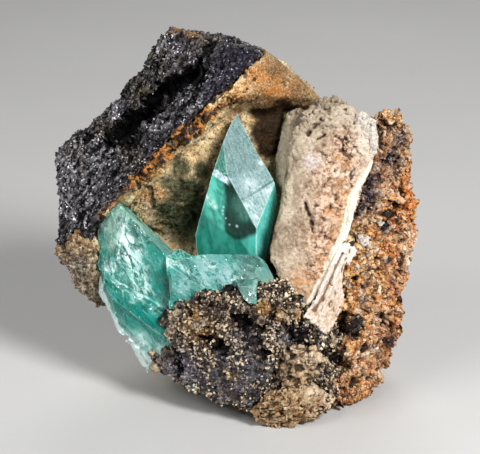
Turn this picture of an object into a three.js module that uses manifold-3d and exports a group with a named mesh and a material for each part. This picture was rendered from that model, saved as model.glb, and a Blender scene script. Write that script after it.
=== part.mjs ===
// A phosphophyllite specimen: blue-green crystals in the hollow of a piece of ore rock.
// Millimetres. X runs to the right, Y away from the viewer and Z up. The specimen stands
// on the surface Z = 0, and the origin is under its middle.
import * as THREE from 'three';
import { ConvexGeometry } from 'three/addons/geometries/ConvexGeometry.js';
import { mergeVertices } from 'three/addons/utils/BufferGeometryUtils.js';
import Module from 'manifold-3d';

const wasm = await Module();
wasm.setup();

// Driving dimensions.
const seat = 0.3; // clearance between a piece and the ones that it grew on
const weld = 1e-3; // corners closer than this are one corner
const fissureDepth = 5; // of the open crack across the dark rock

// ---------- solids ----------

// A closed geometry as a manifold solid.
function toSolid(geometry) {
  const bare = geometry.clone();
  bare.deleteAttribute('normal');
  bare.deleteAttribute('uv');
  const merged = mergeVertices(bare, weld);
  return new wasm.Manifold(new wasm.Mesh({
    numProp: 3,
    vertProperties: new Float32Array(merged.attributes.position.array),
    triVerts: new Uint32Array(merged.index.array),
  }));
}

// A manifold solid as a geometry with flat faces.
function toGeometry(solid) {
  const mesh = solid.getMesh();
  const geometry = new THREE.BufferGeometry();
  const positions = new Float32Array(mesh.vertProperties);
  geometry.setAttribute('position', new THREE.BufferAttribute(positions, 3));
  geometry.setIndex(new THREE.BufferAttribute(new Uint32Array(mesh.triVerts), 1));
  const flat = geometry.toNonIndexed();
  flat.computeVertexNormals();
  return flat;
}

// A piece of rock: the convex lump with these corners. It grows by swell on every side.
function lump(corners) {
  return (swell) => {
    const points = corners.map(([x, y, z]) => new THREE.Vector3(x, y, z));
    if (swell === 0) return toSolid(new ConvexGeometry(points));
    const around = [];
    for (const point of points)
      for (const dx of [-swell, swell])
        for (const dy of [-swell, swell])
          for (const dz of [-swell, swell])
            around.push(new THREE.Vector3(point.x + dx, point.y + dy, point.z + dz));
    return toSolid(new ConvexGeometry(around));
  };
}

// A crystal: flat faces around a centre. Each face has a heading in degrees (0 looks at
// the viewer, 90 to the right), a tilt upwards, and its distance from the centre.
// A corner is where three faces meet, on the inner side of all the others.
function crystal(centre, faces) {
  const middle = new THREE.Vector3(...centre);
  return (swell) => {
    const planes = faces.map(([heading, tilt, distance]) => {
      const h = THREE.MathUtils.degToRad(heading);
      const t = THREE.MathUtils.degToRad(tilt);
      const normal = new THREE.Vector3(Math.sin(h) * Math.cos(t), -Math.cos(h) * Math.cos(t), Math.sin(t));
      return new THREE.Plane(normal, -distance - swell - normal.dot(middle));
    });
    const corners = [];
    for (let i = 0; i < planes.length; i++)
      for (let j = i + 1; j < planes.length; j++)
        for (let k = j + 1; k < planes.length; k++) {
          const corner = meeting(planes[i], planes[j], planes[k]);
          if (corner && planes.every((plane) => plane.distanceToPoint(corner) < weld)) corners.push(corner);
        }
    return toSolid(new ConvexGeometry(corners));
  };
}

// The point that three planes share.
function meeting(a, b, c) {
  const bc = new THREE.Vector3().crossVectors(b.normal, c.normal);
  const ca = new THREE.Vector3().crossVectors(c.normal, a.normal);
  const ab = new THREE.Vector3().crossVectors(a.normal, b.normal);
  const volume = a.normal.dot(bc);
  if (Math.abs(volume) < 1e-6) return null;
  return bc.multiplyScalar(-a.constant)
    .addScaledVector(ca, -b.constant)
    .addScaledVector(ab, -c.constant)
    .divideScalar(volume);
}

// Lumps or crystals grown together into one solid.
function grown(members, swell = 0) {
  return members.map((member) => member(swell)).reduce((all, one) => all.add(one));
}

// ---------- the crystals ----------

// The tall spearhead at the back of the hollow.
const uprightCrystal = [
  crystal([0, -1, 44], [
    [18, 21.5, 5.9], // frosted upper face
    [-23, 0, 3.7], // broad left face
    [-25, 16, 6.3], // sliver above it
    [55, 0, 7.2], // right-hand strip
    [119, 18.5, 8.5],
    [106, 12, 8.75],
    [106, -14.5, 7.4],
    [-108.5, 23, 9.2],
    [-99.5, 15.5, 7.25],
    [-102, 17.5, 7.45],
    [-98, -6, 9.75],
    [175, 8, 8],
    [0, -90, 18],
  ]),
];

// Blades that have grown through one another in the lower half.
const leftBlade = crystal([-20, -3, 35], [
  [-12, 6, 6.3], // broad front face
  [-47, 12, 8.3], // end face at the upper left
  [98, 43, 3.8], // bevel along the right edge
  [106, 44, 3.75],
  [-54, -34, 10.3],
  [-97, 44.5, 12.8],
  [-98, -1, 11.25],
  [-75, -56, 9.3],
  [168, -6, 6],
  [60, -50, 13],
]);
const underCrystal = crystal([-23, -5, 20], [
  [-28, -12, 5.1],
  [-11, 14, 7.05],
  [-54.5, -12.5, 5.35],
  [-118.5, -58, 3.1],
  [-111, -32.5, 3.4],
  [-80, 10, 9],
  [20, 50, 9],
  [170, 10, 6],
  [60, -40, 12.5],
]);
const lyingCrystal = crystal([-1, -8, 32], [
  [4, 36, 4.85], // feathered front face
  [180, 62, 3.35],
  [-153, 51, 4.75],
  [143, 49, 4.8],
  [98.5, 26.5, 7.95],
  [-47.5, -38, 7.15],
  [0, -8, 8.5],
  [180, 5, 6],
  [0, -90, 7],
]);
const lowerShard = lump([
  [-25.2, -8, 15.8], [-22.8, -8, 13.1], [-21.5, -8, 8.8], [-20.3, -9, 7.4], [-18.9, -12, 11.6],
  [-19.6, -12, 15.8], [-22.9, -2, 10.2], [-19, -3, 9],
]);
const hangingTongue = lump([
  [0.4, -19.5, 33.2], [4.5, -19.5, 33], [1.5, -21, 31], [3, -21.6, 29.8], [4.5, -21.1, 29.6],
  [0, -14, 33], [5, -14, 33], [1, -14, 28], [5, -14, 28],
]);
const wedgeCrystal = crystal([-9, -12, 30], [
  [-8, 18, 2.45],
  [-112, -10.5, 4.9],
  [73.5, 59.5, 2.7],
  [0, -60, 5],
  [90, -20, 6],
  [180, 0, 7],
]);
const crossedCrystals = [leftBlade, underCrystal, lowerShard, wedgeCrystal, lyingCrystal, hangingTongue];

// ---------- the rock ----------

// The pale slab, with a fluted strip along its left side.
const paleSlab = [
  lump([
    [15.3, 1, 68.6], [18.5, 0.5, 70], [21.8, 0.5, 70.6], [24.3, 0, 69.6], [28.1, -2, 66], [31, -6, 58.4],
    [26.2, -9.5, 50.5], [23.9, -12.5, 42], [20.5, -15, 34], [16, -16.8, 27], [10.4, -15, 30.2],
    [7.6, -12.5, 36.8], [9.8, -8, 49.8], [14.8, -3.5, 60.7], [18, -10.5, 49],
    [20, 8, 66], [27, 6, 62], [28, 3, 54], [20, 0, 36], [14, -2, 30], [11, 0, 40], [12.5, 4, 54],
  ]),
  lump([
    [10.8, 5, 66.2], [14.5, 3, 68], [15.2, 3, 58.5], [10, -1, 49], [8, 2.5, 49.6], [8.4, 5, 54],
    [12, 10, 64], [18, 8, 64], [14, 8, 46],
  ]),
];

// The thin white flake that stands against the slab's right edge.
const whiteFlake = [
  lump([
    [23.2, -12.6, 41], [25.3, -12, 39.6], [25, -12.5, 37.5], [23, -14, 34.5], [22.6, -14.5, 27.4],
    [20, -15.5, 21.5], [16.6, -17, 22.3], [16.2, -17.6, 24.5], [20.3, -15.5, 32.5],
    [24.5, -10, 39.5], [22, -12, 24],
  ]),
];

// The porous buff crust at the foot of the front, which touches down first.
const buffCrust = [
  lump([
    [3, -22.5, 4.5], [4.2, -23, 1.6], [6, -22, 0], [12, -22, 0], [18.6, -20.5, 1.6], [22.2, -17.5, 3.8],
    [22, -17, 5], [18.8, -19.5, 8], [16.5, -21.5, 11], [11, -23.5, 11], [5, -24.5, 6.5], [12, -25, 5.5],
    [7, -12, 0], [18, -12, 0], [8, -12, 8], [18, -12, 8],
  ]),
  lump([
    [10, -23, 18.5], [13.8, -23, 20], [19, -21.5, 18.5], [19.8, -20.5, 15], [16.5, -22.5, 11],
    [10.5, -24, 9], [9.5, -23.5, 13], [12, -17, 18], [18, -16, 16], [12, -17, 9],
  ]),
];

// The grainy front mass, which also makes the floor of the hollow.
const frontRock = [
  lump([
    [-16, -14, 24], [-14.4, -15.5, 26], [-9, -18, 29.6], [-0.5, -19, 31.6], [9, -17, 32.4], [16.3, -17.5, 28],
    [24, -14, 18.5], [0.8, -23.5, 19.5], [11, -22, 18], [-8, -20.5, 17],
    [-20.4, -10, 12], [-18, -12, 9], [-14, -14, 8.7], [-3, -19, 5.3], [3, -21, 4.2], [12, -20, 3.5],
    [21, -16, 2.8], [-13, -2, 7], [-8, 6, 2.5], [20, 4, 1.5], [22, 0, 24], [-13, 4, 26],
  ]),
  lump([
    [-14, 6, 29], [10, 6, 29], [9.5, -14, 31.5], [-8, -14, 29.5],
    [-14, 6, 20], [12, 6, 20], [10, -14, 22], [-8, -14, 22],
  ]),
];

// The rusty ochre wall: the back of the hollow, the crust round its left end and the
// flat that the specimen stands on.
const ochreWall = [
  // the crumbly lip under the dark rock's edge, in three stretches
  lump([
    [-30.5, -4, 44.2], [-12.9, -5, 62.9], [-28, 1, 42.7], [-10.4, 1, 58.9], [-12, 3, 63], [-30, 3, 46],
    [-26, 8, 40], [-9, 8, 57],
  ]),
  lump([
    [-12.9, -5, 62.9], [-1.8, -3, 72.6], [-10.4, 1, 58.9], [-0.1, 3, 68.1], [-12, 4, 63], [-2, 5, 72],
    [-8, 8, 57], [1, 8, 67],
  ]),
  lump([
    [-1.8, -3, 72.6], [5.4, -0.4, 79.4], [-0.1, 3, 68.1], [7.5, 3, 76.9], [-2, 5, 72], [7.5, 3, 80.2],
    [10.6, 4, 77], [13.3, 4, 73.4], [18.3, 4, 69.2], [16, 9, 62], [2, 9, 66], [5, 14, 76],
  ]),
  // the wall behind the crystals
  lump([
    [-24.4, 3, 42], [-16.3, 4, 51], [-7.2, 5, 56.7], [0.3, 6, 66.8], [5.8, 7, 69], [12.2, 8, 61.4],
    [5.9, 11, 54.8], [-13.2, 9, 32.1], [18.3, 5, 69.2], [18.5, 9, 55],
    [8, 15, 75], [17, 17, 66], [-2, 22, 66], [-14, 18, 56], [10, 16, 40], [-12, 14, 40], [-28, 12, 40],
  ]),
  // the body of the rock, down to the flat that it stands on
  lump([
    [-15, 9, 38], [14, 11, 50], [16, 8, 28], [-24, 8, 28], [-27, 2, 24], [-21, -1, 15], [-15, -2, 8],
    [-11, 10, 0], [-5, 3, 0], [15, -1, 0], [20, 6, 12],
    [-31, 15, 38], [-24, 22, 42], [-14, 24, 52], [4, 24, 58], [14, 19, 62], [20, 14, 50],
    [20, 23, 30], [19, 22, 8], [17, 19, 0], [-8, 20, 0], [-15, 23, 10], [-26, 18, 24],
  ]),
  // the grey-brown crust round the left end
  lump([
    [-40.9, 0, 34.2], [-38.8, -1, 32], [-37.2, -1.5, 30], [-35.3, -2.5, 25.8], [-31.8, -3, 20.4],
    [-31.4, -3, 26.8], [-31.8, -3.5, 33.3], [-32.2, -4, 37.8], [-36.6, -3, 39],
    [-39, 8, 34], [-34, 12, 41], [-31, 9, 23], [-25, 11, 19], [-26, 17, 34],
  ]),
];

// The iron-stained lumpy block on the right.
const rustyBlock = [
  lump([
    [29.8, -3, 66.5], [32, -2, 68.2], [34.3, -1, 68], [36.6, 1, 65], [37.9, 2, 61.3], [39, 2, 58.2],
    [38.4, 2, 54.3], [31, -5, 57], [30, -4, 62], [32, 8, 63], [36, 9, 58], [34, 12, 52], [24, 9, 54],
  ]),
  lump([
    [30.5, -6, 57.5], [38.4, 2, 54.3], [37.4, 2, 49.6], [41.2, 4, 39.3], [39.3, 4, 36.5], [39.6, 4, 30],
    [39, 3, 24], [38.7, 3, 12.6], [35, 0, 11], [26, -13, 17], [24, -12.5, 27], [24.5, -12, 40], [26, -9, 50],
    [34, 17, 51], [37, 15, 34], [34, 17, 14], [22, 18, 54], [23, 22, 36], [20, 20, 20], [18, 6, 40],
  ]),
  lump([
    [35, 0, 11], [34, -1.5, 5], [32.3, -3, 1.8], [28.2, -9, 2.2], [22.6, -14, 2.4], [24, -14.5, 17],
    [38.7, 3, 13], [19, -4, 0], [29, 2, 0], [32, 11, 0], [28, 18, 0], [17, 18, 0], [35, 15, 14], [24, 22, 12],
  ]),
];

// The dark glittering wall rock at the upper left.
const darkRock = [
  lump([
    [-13.5, -5.5, 63.6], [5.4, -0.4, 80], [6.6, 6, 80], [1, 7, 82], [-8, 6, 83.8], [-15, 6, 85.4],
    [-21.5, 8, 75], [-26.8, 8, 68], [-25, -1, 60], [-14, 17, 77], [4, 18, 73], [-24, 19, 62],
    [-18, 21, 52], [-4, 22, 57],
  ]),
  lump([
    [-26.6, 6, 69], [-25.6, 6, 71.5], [-24, 6, 73.5], [-20, 5, 76], [-19, 4, 68],
    [-24, 12, 70], [-18, 13, 72], [-16, 10, 62],
  ]),
  lump([
    [-31.9, -4.5, 45.1], [-22.5, -6.5, 54.5], [-13.5, -5.5, 63.6], [-26.8, 8, 68], [-32.6, 7, 61.2],
    [-40.6, 4, 56], [-39.6, 2, 45.8], [-38, -1, 39.4], [-33.5, -4, 39.7], [-37, 14, 50], [-30, 20, 59],
    [-34, 17, 42], [-22, 22, 48], [-16, 22, 56],
  ]),
  lump([
    [-38, -1, 39.4], [-40.9, 0, 34.6], [-38.6, -1.2, 35], [-33.5, -4, 39.7], [-32.2, -4, 38],
    [-39.7, 2, 46], [-38, 12, 37], [-34, 16, 42],
  ]),
];

// The open fissure: a slot that runs from point to point along the rock's face, closes
// fissureDepth below it and runs out thin at both ends.
const fissureLine = [
  { at: [-27, 0, 60.5], width: 0.4 },
  { at: [-24.5, 0.5, 63.2], width: 1.8 },
  { at: [-20.8, -0.3, 66], width: 1.3 },
  { at: [-19, 0.1, 69], width: 2.6 },
  { at: [-16, 0.2, 72], width: 1.7 },
  { at: [-12.5, 0, 74], width: 1.2 },
  { at: [-8.5, 0.3, 76.3], width: 0.4 },
];
const fissure = fissureLine.slice(1).map((end, i) => {
  const corners = [];
  for (const { at: [x, y, z], width } of [fissureLine[i], end]) {
    for (const side of [-width / 2, width / 2])
      for (const front of [-fissureDepth, 0]) corners.push([x - side, y + front, z + side]);
    corners.push([x, y + fissureDepth, z]);
  }
  return lump(corners);
});

// ---------- assembly ----------

// In growing order: each piece is cut back by the seats of all those above it.
const pieces = [
  { name: 'upright_crystal', members: uprightCrystal, colour: 0x3fae96, roughness: 0.15 },
  { name: 'crossed_crystals', members: crossedCrystals, colour: 0x63bfa9, roughness: 0.25 },
  { name: 'pale_slab', members: paleSlab, colour: 0xc6ad8e, roughness: 0.85 },
  { name: 'white_flake', members: whiteFlake, colour: 0xe8e0d2, roughness: 0.7 },
  { name: 'buff_crust', members: buffCrust, colour: 0xb99a6c, roughness: 0.9 },
  { name: 'front_rock', members: frontRock, colour: 0x4a3f38, roughness: 0.75 },
  { name: 'ochre_wall', members: ochreWall, colour: 0x9a7240, roughness: 0.9 },
  { name: 'rusty_block', members: rustyBlock, colour: 0x9c6236, roughness: 0.85 },
  { name: 'dark_rock', members: darkRock, cuts: fissure, colour: 0x2b2930, roughness: 0.55 },
];

const specimen = new THREE.Group();
let seats = null;
for (const { name, members, cuts, colour, roughness } of pieces) {
  let solid = grown(members);
  if (cuts) solid = solid.subtract(grown(cuts));
  if (seats) solid = solid.subtract(seats);
  const [largest] = solid.decompose().sort((a, b) => b.volume() - a.volume());
  const material = new THREE.MeshStandardMaterial({ color: colour, roughness, metalness: 0 });
  const mesh = new THREE.Mesh(toGeometry(largest), material);
  mesh.name = name;
  specimen.add(mesh);
  const room = grown(members, seat);
  seats = seats ? seats.add(room) : room;
}

// The specimen moves so that the origin is under its middle.
const box = new THREE.Box3().setFromObject(specimen);
const middle = box.getCenter(new THREE.Vector3());
specimen.position.set(-middle.x, -middle.y, -box.min.z);

const model = new THREE.Group();
model.add(specimen);
export default model;
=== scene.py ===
import math
import time
import bmesh
import bpy
import numpy as np
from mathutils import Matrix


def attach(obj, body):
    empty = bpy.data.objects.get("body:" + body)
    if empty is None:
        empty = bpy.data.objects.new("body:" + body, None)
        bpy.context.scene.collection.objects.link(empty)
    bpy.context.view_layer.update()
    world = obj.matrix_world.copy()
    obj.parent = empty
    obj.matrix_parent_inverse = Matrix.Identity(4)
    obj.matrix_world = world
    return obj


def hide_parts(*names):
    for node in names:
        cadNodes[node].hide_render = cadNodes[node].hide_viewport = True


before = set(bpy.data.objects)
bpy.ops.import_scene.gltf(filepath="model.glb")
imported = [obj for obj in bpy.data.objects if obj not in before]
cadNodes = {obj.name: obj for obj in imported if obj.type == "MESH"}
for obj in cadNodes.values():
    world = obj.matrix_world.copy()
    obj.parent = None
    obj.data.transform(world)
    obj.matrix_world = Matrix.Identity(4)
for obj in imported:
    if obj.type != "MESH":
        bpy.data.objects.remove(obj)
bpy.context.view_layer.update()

# A phosphophyllite specimen: blue-green crystals in the hollow of a weathered ore rock.
# Shapes are worked out in millimetres, X to the right, Y away from the viewer, Z up,
# and become metres when they are put into a mesh.
# In each dictionary below, lists of four numbers are spots (x, y, z, radius), lists of three are lines, and
# tints are colours by name, two together for the low and the high of a noise.
mm = 0.001
allStone = ["dark_rock", "ochre_wall", "rusty_block", "front_rock", "pale_slab", "white_flake", "buff_crust"]
allCrystal = ["upright_crystal", "crossed_crystals"]
startTime = time.time()


def report(stage):
    print(f"{time.time() - startTime:6.1f} s  {stage}", flush=True)


# A fixed number from 0 to 1 for each whole-number cell, by multiplying and mixing its bits.
def cellValue(cell, salt):
    key = cell.astype(np.int64)
    mixed = (key[..., 0] * 374761393 + key[..., 1] * 668265263 + key[..., 2] * 1440670441 + salt * 974711)
    mixed = mixed & 0xFFFFFFFF
    mixed = ((mixed ^ (mixed >> 13)) * 1274126177) & 0xFFFFFFFF
    mixed = ((mixed ^ (mixed >> 16)) * 2024237689) & 0xFFFFFFFF
    return ((mixed ^ (mixed >> 15)) & 0xFFFFFF) / 0xFFFFFF


# Smooth noise from -1 to 1: the eight corner values of the cell that a point is in, blended by a smooth
# step.
def waves(p, size, salt):
    q = p / size
    cell = np.floor(q)
    part = q - cell
    part = part * part * part * (part * (part * 6 - 15) + 10)
    total = np.zeros(len(p))
    for corner in range(8):
        step = np.array([corner & 1, corner >> 1 & 1, corner >> 2])
        weight = np.where(step, part, 1 - part).prod(axis=1)
        total += weight * cellValue(cell + step, salt)
    return total * 2 - 1


latticeTurn = np.array([[0.36, 0.48, -0.8], [-0.8, 0.6, 0.0], [0.48, 0.64, 0.6]])  # turns each layer of noise


# Several layers of waves, each half the size and keep times the height of the one before.
def crumple(p, size, layers, salt, keep=0.5):
    total, height, whole = np.zeros(len(p)), 1.0, 0.0
    q = p
    for layer in range(layers):
        total += height * waves(q, size / 2**layer, salt + 17 * layer)
        whole += height
        height *= keep
        q = q @ latticeTurn
    return total / whole


# Scattered seeds, one in each cell: the distances to the nearest and to the second in cell sizes, the
# nearest one's own number, and the way to it.
def seeds(p, size, salt):
    q = p / size
    home = np.floor(q)
    nearest = np.full(len(p), 9.0)
    second = np.full(len(p), 9.0)
    mark = np.zeros(len(p))
    way = np.zeros((len(p), 3))
    for index in range(27):
        cell = home + np.array([index % 3 - 1, index // 3 % 3 - 1, index // 9 - 1])
        seed = np.stack([cellValue(cell, salt + k) for k in range(3)], axis=1)
        toSeed = cell + seed - q
        away = np.sqrt((toSeed**2).sum(axis=1))
        closer = away < nearest
        second = np.where(closer, nearest, np.minimum(second, away))
        mark = np.where(closer, cellValue(cell, salt + 3), mark)
        way = np.where(closer[:, None], toSeed, way)
        nearest = np.minimum(nearest, away)
    return nearest, second, mark, way


# Broken stone: each seed's cell is a flat facet with a height and a lean of its own, about -1 to 1.
def facets(p, size, salt, lean=1.0):
    _, _, mark, way = seeds(p, size, salt)
    tilt = np.stack([np.sin(mark * 91.7), np.sin(mark * 57.3 + 1), np.sin(mark * 133.1 + 2)], axis=1)
    return (mark - 0.5) * 1.1 + lean * (way * tilt).sum(axis=1)


# 0 below low and 1 above high, with a smooth step between.
def rise(value, low, high):
    t = np.clip((value - low) / (high - low), 0, 1)
    return t * t * (3 - 2 * t)


# 1 where value is 0 and falling off like a bell to both sides.
def bell(value, width):
    return np.exp(-(value / width) ** 2)


# 1 at a spot and falling off like a bell around it, for a list of spots (x, y, z, radius).
def around(p, spots):
    best = np.zeros(len(p))
    for x, y, z, radius in spots:
        away = ((p - np.array([x, y, z])) ** 2).sum(axis=1)
        best = np.maximum(best, np.exp(-away / radius**2))
    return best


# A field for each of the named lists of spots.
def spotted(p, look, *names):
    return {name: around(p, look[name]) for name in names}


# Distance to a line of straight pieces, and how far along it the nearest place is, from 0 to 1.
# With flat, the distance is measured as seen from the front, without Y.
def fromLine(p, points, flat=False):
    scale = np.array([1, 0 if flat else 1, 1])
    points = np.array(points, float)
    best = np.full(len(p), 1e9)
    along = np.zeros(len(p))
    for i in range(len(points) - 1):
        a, b = points[i] * scale, points[i + 1] * scale
        t = np.clip(((p * scale - a) @ (b - a)) / ((b - a) @ (b - a)), 0, 1)
        away = np.linalg.norm(p * scale - a - t[:, None] * (b - a), axis=1)
        along = np.where(away < best, (i + t) / (len(points) - 1), along)
        best = np.minimum(best, away)
    return best, along


# Unit normals at the corners: each face's cross product of its diagonals, summed over the corner's faces.
def normalsOf(p, faces):
    last = faces.shape[1] - 1
    flat = np.cross(p[faces[:, 2]] - p[faces[:, 0]], p[faces[:, last]] - p[faces[:, 1]])
    if last == 2:
        flat = np.cross(p[faces[:, 1]] - p[faces[:, 0]], p[faces[:, 2]] - p[faces[:, 0]])
    parts = [np.bincount(faces.ravel(), np.repeat(flat[:, k], last + 1), len(p)) for k in range(3)]
    total = np.stack(parts, axis=1)
    return total / np.maximum(np.linalg.norm(total, axis=1), 1e-12)[:, None]


# Each corner moves halfway to the mean of its neighbours, a number of times over.
def relaxed(p, faces, rounds):
    start = np.concatenate([faces.ravel(), np.roll(faces, -1, axis=1).ravel()])
    end = np.concatenate([np.roll(faces, -1, axis=1).ravel(), faces.ravel()])
    count = np.bincount(start, minlength=len(p))[:, None]
    for _ in range(rounds):
        mean = np.stack([np.bincount(start, p[end, k], len(p)) for k in range(3)], axis=1) / count
        p = (p + mean) / 2
    return p


# How far each corner lies below the mean of the surface around it: more than 0 in gaps and hollows.
def hollowness(p, faces, rounds):
    return ((relaxed(p, faces, rounds) - p) * normalsOf(p, faces)).sum(axis=1)


# A mesh object from arrays: corners in millimetres, faces of 3 or 4 corners, and fields, with one number for
# each corner or face.
def meshObject(name, p, faces, fields, smooth=True, faceFields=None):
    mesh = bpy.data.meshes.new(name)
    mesh.vertices.add(len(p))
    p = np.maximum(p, np.array([-1e6, -1e6, 0]))  # nothing goes below the floor
    mesh.vertices.foreach_set("co", (p * mm).astype(np.float32).ravel())
    mesh.loops.add(faces.size)
    mesh.loops.foreach_set("vertex_index", faces.astype(np.int32).ravel())
    mesh.polygons.add(len(faces))
    mesh.polygons.foreach_set("loop_start", np.arange(0, faces.size, faces.shape[1], dtype=np.int32))
    mesh.update(calc_edges=True)
    mesh.polygons.foreach_set("use_smooth", np.full(len(mesh.polygons), smooth))
    for field, values in fields.items():
        mesh.attributes.new(field, "FLOAT", "POINT").data.foreach_set("value", values.astype(np.float32))
    for field, values in (faceFields or {}).items():
        mesh.attributes.new(field, "FLOAT", "FACE").data.foreach_set("value", values.astype(np.float32))
    piece = bpy.data.objects.new(name, mesh)
    bpy.context.scene.collection.objects.link(piece)
    return piece


# The corners and faces of a mesh as arrays, in millimetres.
def arraysOf(mesh, corners):
    p = np.empty(len(mesh.vertices) * 3, np.float32)
    mesh.vertices.foreach_get("co", p)
    faces = np.empty(len(mesh.loops), np.int32)
    mesh.loops.foreach_get("vertex_index", faces)
    return p.reshape(-1, 3).astype(float) / mm, faces.reshape(-1, corners)


# A copy of a frame node's mesh with its loose triangles joined at their corners.
def joinedMesh(node):
    build = bmesh.new()
    build.from_mesh(cadNodes[node].data)
    bmesh.ops.remove_doubles(build, verts=build.verts, dist=0.002 * mm)
    mesh = bpy.data.meshes.new(node + "_joined")
    build.to_mesh(mesh)
    build.free()
    return mesh


# One even skin of square faces around a mesh and any closed solids that overlap it, relaxed rounds times.
def fused(mesh, solids, faceSize, rounds):
    rough = bpy.data.objects.new("rough", mesh)
    bpy.context.scene.collection.objects.link(rough)
    if solids:
        build = bmesh.new()
        build.from_mesh(mesh)
        for p, faces in solids:
            part = bpy.data.meshes.new("part")
            part.from_pydata((p * mm).tolist(), [], faces.tolist())
            build.from_mesh(part)
            bpy.data.meshes.remove(part)
        build.to_mesh(mesh)
        build.free()
    skin = rough.modifiers.new("skin", "REMESH")
    skin.mode = "VOXEL"
    skin.voxel_size = faceSize * mm
    graph = bpy.context.evaluated_depsgraph_get()
    even = bpy.data.meshes.new_from_object(rough.evaluated_get(graph))
    p, faces = arraysOf(even, 4)
    bpy.data.objects.remove(rough)
    return relaxed(p, faces, rounds), faces


# A rock to be sculpted: the node's solid, and any solids that grow on it, covered with even square faces.
def rockSkin(node, faceSize, rounds, solids=()):
    return fused(joinedMesh(node), solids, faceSize, rounds)


triangleSets = {}


# The node's triangles as an array (count, 3 corners, xyz) in millimetres.
def trianglesOf(node):
    if node not in triangleSets:
        p, faces = arraysOf(joinedMesh(node), 3)
        triangleSets[node] = p[faces]
    return triangleSets[node]


# True where a point is inside one of the nodes: the solid angles of all triangles, seen from it, add up to a
# full turn.
def insideOf(points, names):
    triangles = np.concatenate([trianglesOf(name) for name in names])
    result = np.zeros(len(points), bool)
    batch = 400  # points at a time
    for first in range(0, len(points), batch):
        some = points[first : first + batch, None, None, :]
        a, b, c = np.moveaxis(triangles[None] - some, 2, 0)
        la, lb, lc = (np.linalg.norm(side, axis=2) for side in (a, b, c))
        top = (a * np.cross(b, c)).sum(axis=2)
        bottom = la * lb * lc + (a * b).sum(2) * lc + (b * c).sum(2) * la + (c * a).sum(2) * lb
        turn = 2 * np.arctan2(top, bottom).sum(axis=1)
        result[first : first + batch] = turn > 2 * math.pi
    return result


# Points evenly along a smooth curve through the path's points: each blend is a cubic between neighbours.
def smoothPath(path, count):
    path = np.array(path, float)
    t = np.linspace(0, len(path) - 1, count)
    i = np.minimum(t.astype(int), len(path) - 2)
    u = (t - i)[:, None]
    before, a, b, after = (path[np.clip(i + k, 0, len(path) - 1)] for k in (-1, 0, 1, 2))
    bend = 2 * before - 5 * a + 4 * b - after + u * (3 * (a - b) + after - before)
    return a + 0.5 * u * (b - before + u * bend)


# Rings of corners joined into a closed skin: the last corner of a ring meets its first, and strips across
# the two end rings close them.
def ringSkin(p, rings, sides):
    grid = np.arange(rings * sides).reshape(rings, sides)
    far = np.roll(grid, -1, axis=1)
    body = np.stack([grid[:-1], far[:-1], far[1:], grid[1:]], axis=-1).reshape(-1, 4)
    half = np.arange(sides // 2 - 1)
    ends = []
    for ring, order in ((grid[0], 1), (grid[-1], -1)):
        strip = [ring[half], ring[half + 1], ring[sides - 2 - half], ring[sides - 1 - half]]
        strip = np.stack(strip, axis=-1)
        ends.append(strip[:, ::-order])
    return p.reshape(-1, 3), np.concatenate([body] + ends)


# A tube along a path, of half width width in the middle and half of that at its ends, both ends rounded off.
def rib(path, width, salt, rings=90, sides=16):
    centre = smoothPath(path, rings)
    t = np.linspace(-1, 1, rings)
    ahead = np.gradient(centre, axis=0)
    ahead /= np.linalg.norm(ahead, axis=1)[:, None]
    side = np.cross(ahead, np.array([0.3, -0.9, 0.3]))
    side /= np.linalg.norm(side, axis=1)[:, None]
    out = np.cross(side, ahead)
    angle = np.arange(sides) * 2 * math.pi / sides
    radius = width * (1 - 0.5 * t * t) * np.sqrt(np.clip(1 - t**16, 0.0002, 1))
    radius = radius * (1 + 0.35 * crumple(centre, 1.5, 2, salt))
    spoke = np.cos(angle)[None, :, None] * side[:, None] + np.sin(angle)[None, :, None] * out[:, None]
    p = centre[:, None] + radius[:, None, None] * spoke
    return ringSkin(p, rings, sides)


# A closed sheet between two paths: front and back are straight from left to right, bulging out by thick
# times a sine.
def sheet(left, right, thick, rings=110, half=46):
    a, b = smoothPath(left, rings), smoothPath(right, rings)
    t = np.linspace(-1, 1, rings)
    ahead = np.gradient((a + b) / 2, axis=0)
    out = np.cross(ahead, b - a)
    out /= np.linalg.norm(out, axis=1)[:, None]
    out *= np.sign(out @ np.array([0, -1, 0]))[:, None]
    angle = np.arange(half * 2) * math.pi / half
    share = (1 - np.cos(angle)) / 2
    bulge = thick * np.sqrt(np.clip(1 - t**16, 0.0002, 1))
    across = (b - a)[:, None] * share[None, :, None]
    p = a[:, None] + across + (out * bulge[:, None])[:, None] * np.sin(angle)[None, :, None]
    return ringSkin(p, rings, half * 2)


# A lump: a ball with three radii, its corners moved out and in by noise.
def lump(x, y, z, a, b, c, salt, rings=20, sides=26, uneven=0.3):
    turn = np.linspace(0.02, math.pi - 0.02, rings)[:, None]
    angle = np.arange(sides)[None] * 2 * math.pi / sides
    ball = [np.sin(turn) * np.cos(angle), np.sin(turn) * np.sin(angle), np.cos(turn) + 0 * angle]
    ball = np.stack(ball, axis=-1).reshape(-1, 3)
    p = np.array([x, y, z]) + ball * np.array([a, b, c])
    size = (a * b * c) ** (1 / 3)
    swell = uneven * (1.6 * crumple(p, size * 1.1, 3, salt) + 0.6 * facets(p, size * 0.55, salt + 3))
    return ringSkin(p + ball * (size * swell)[:, None], rings, sides)


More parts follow.
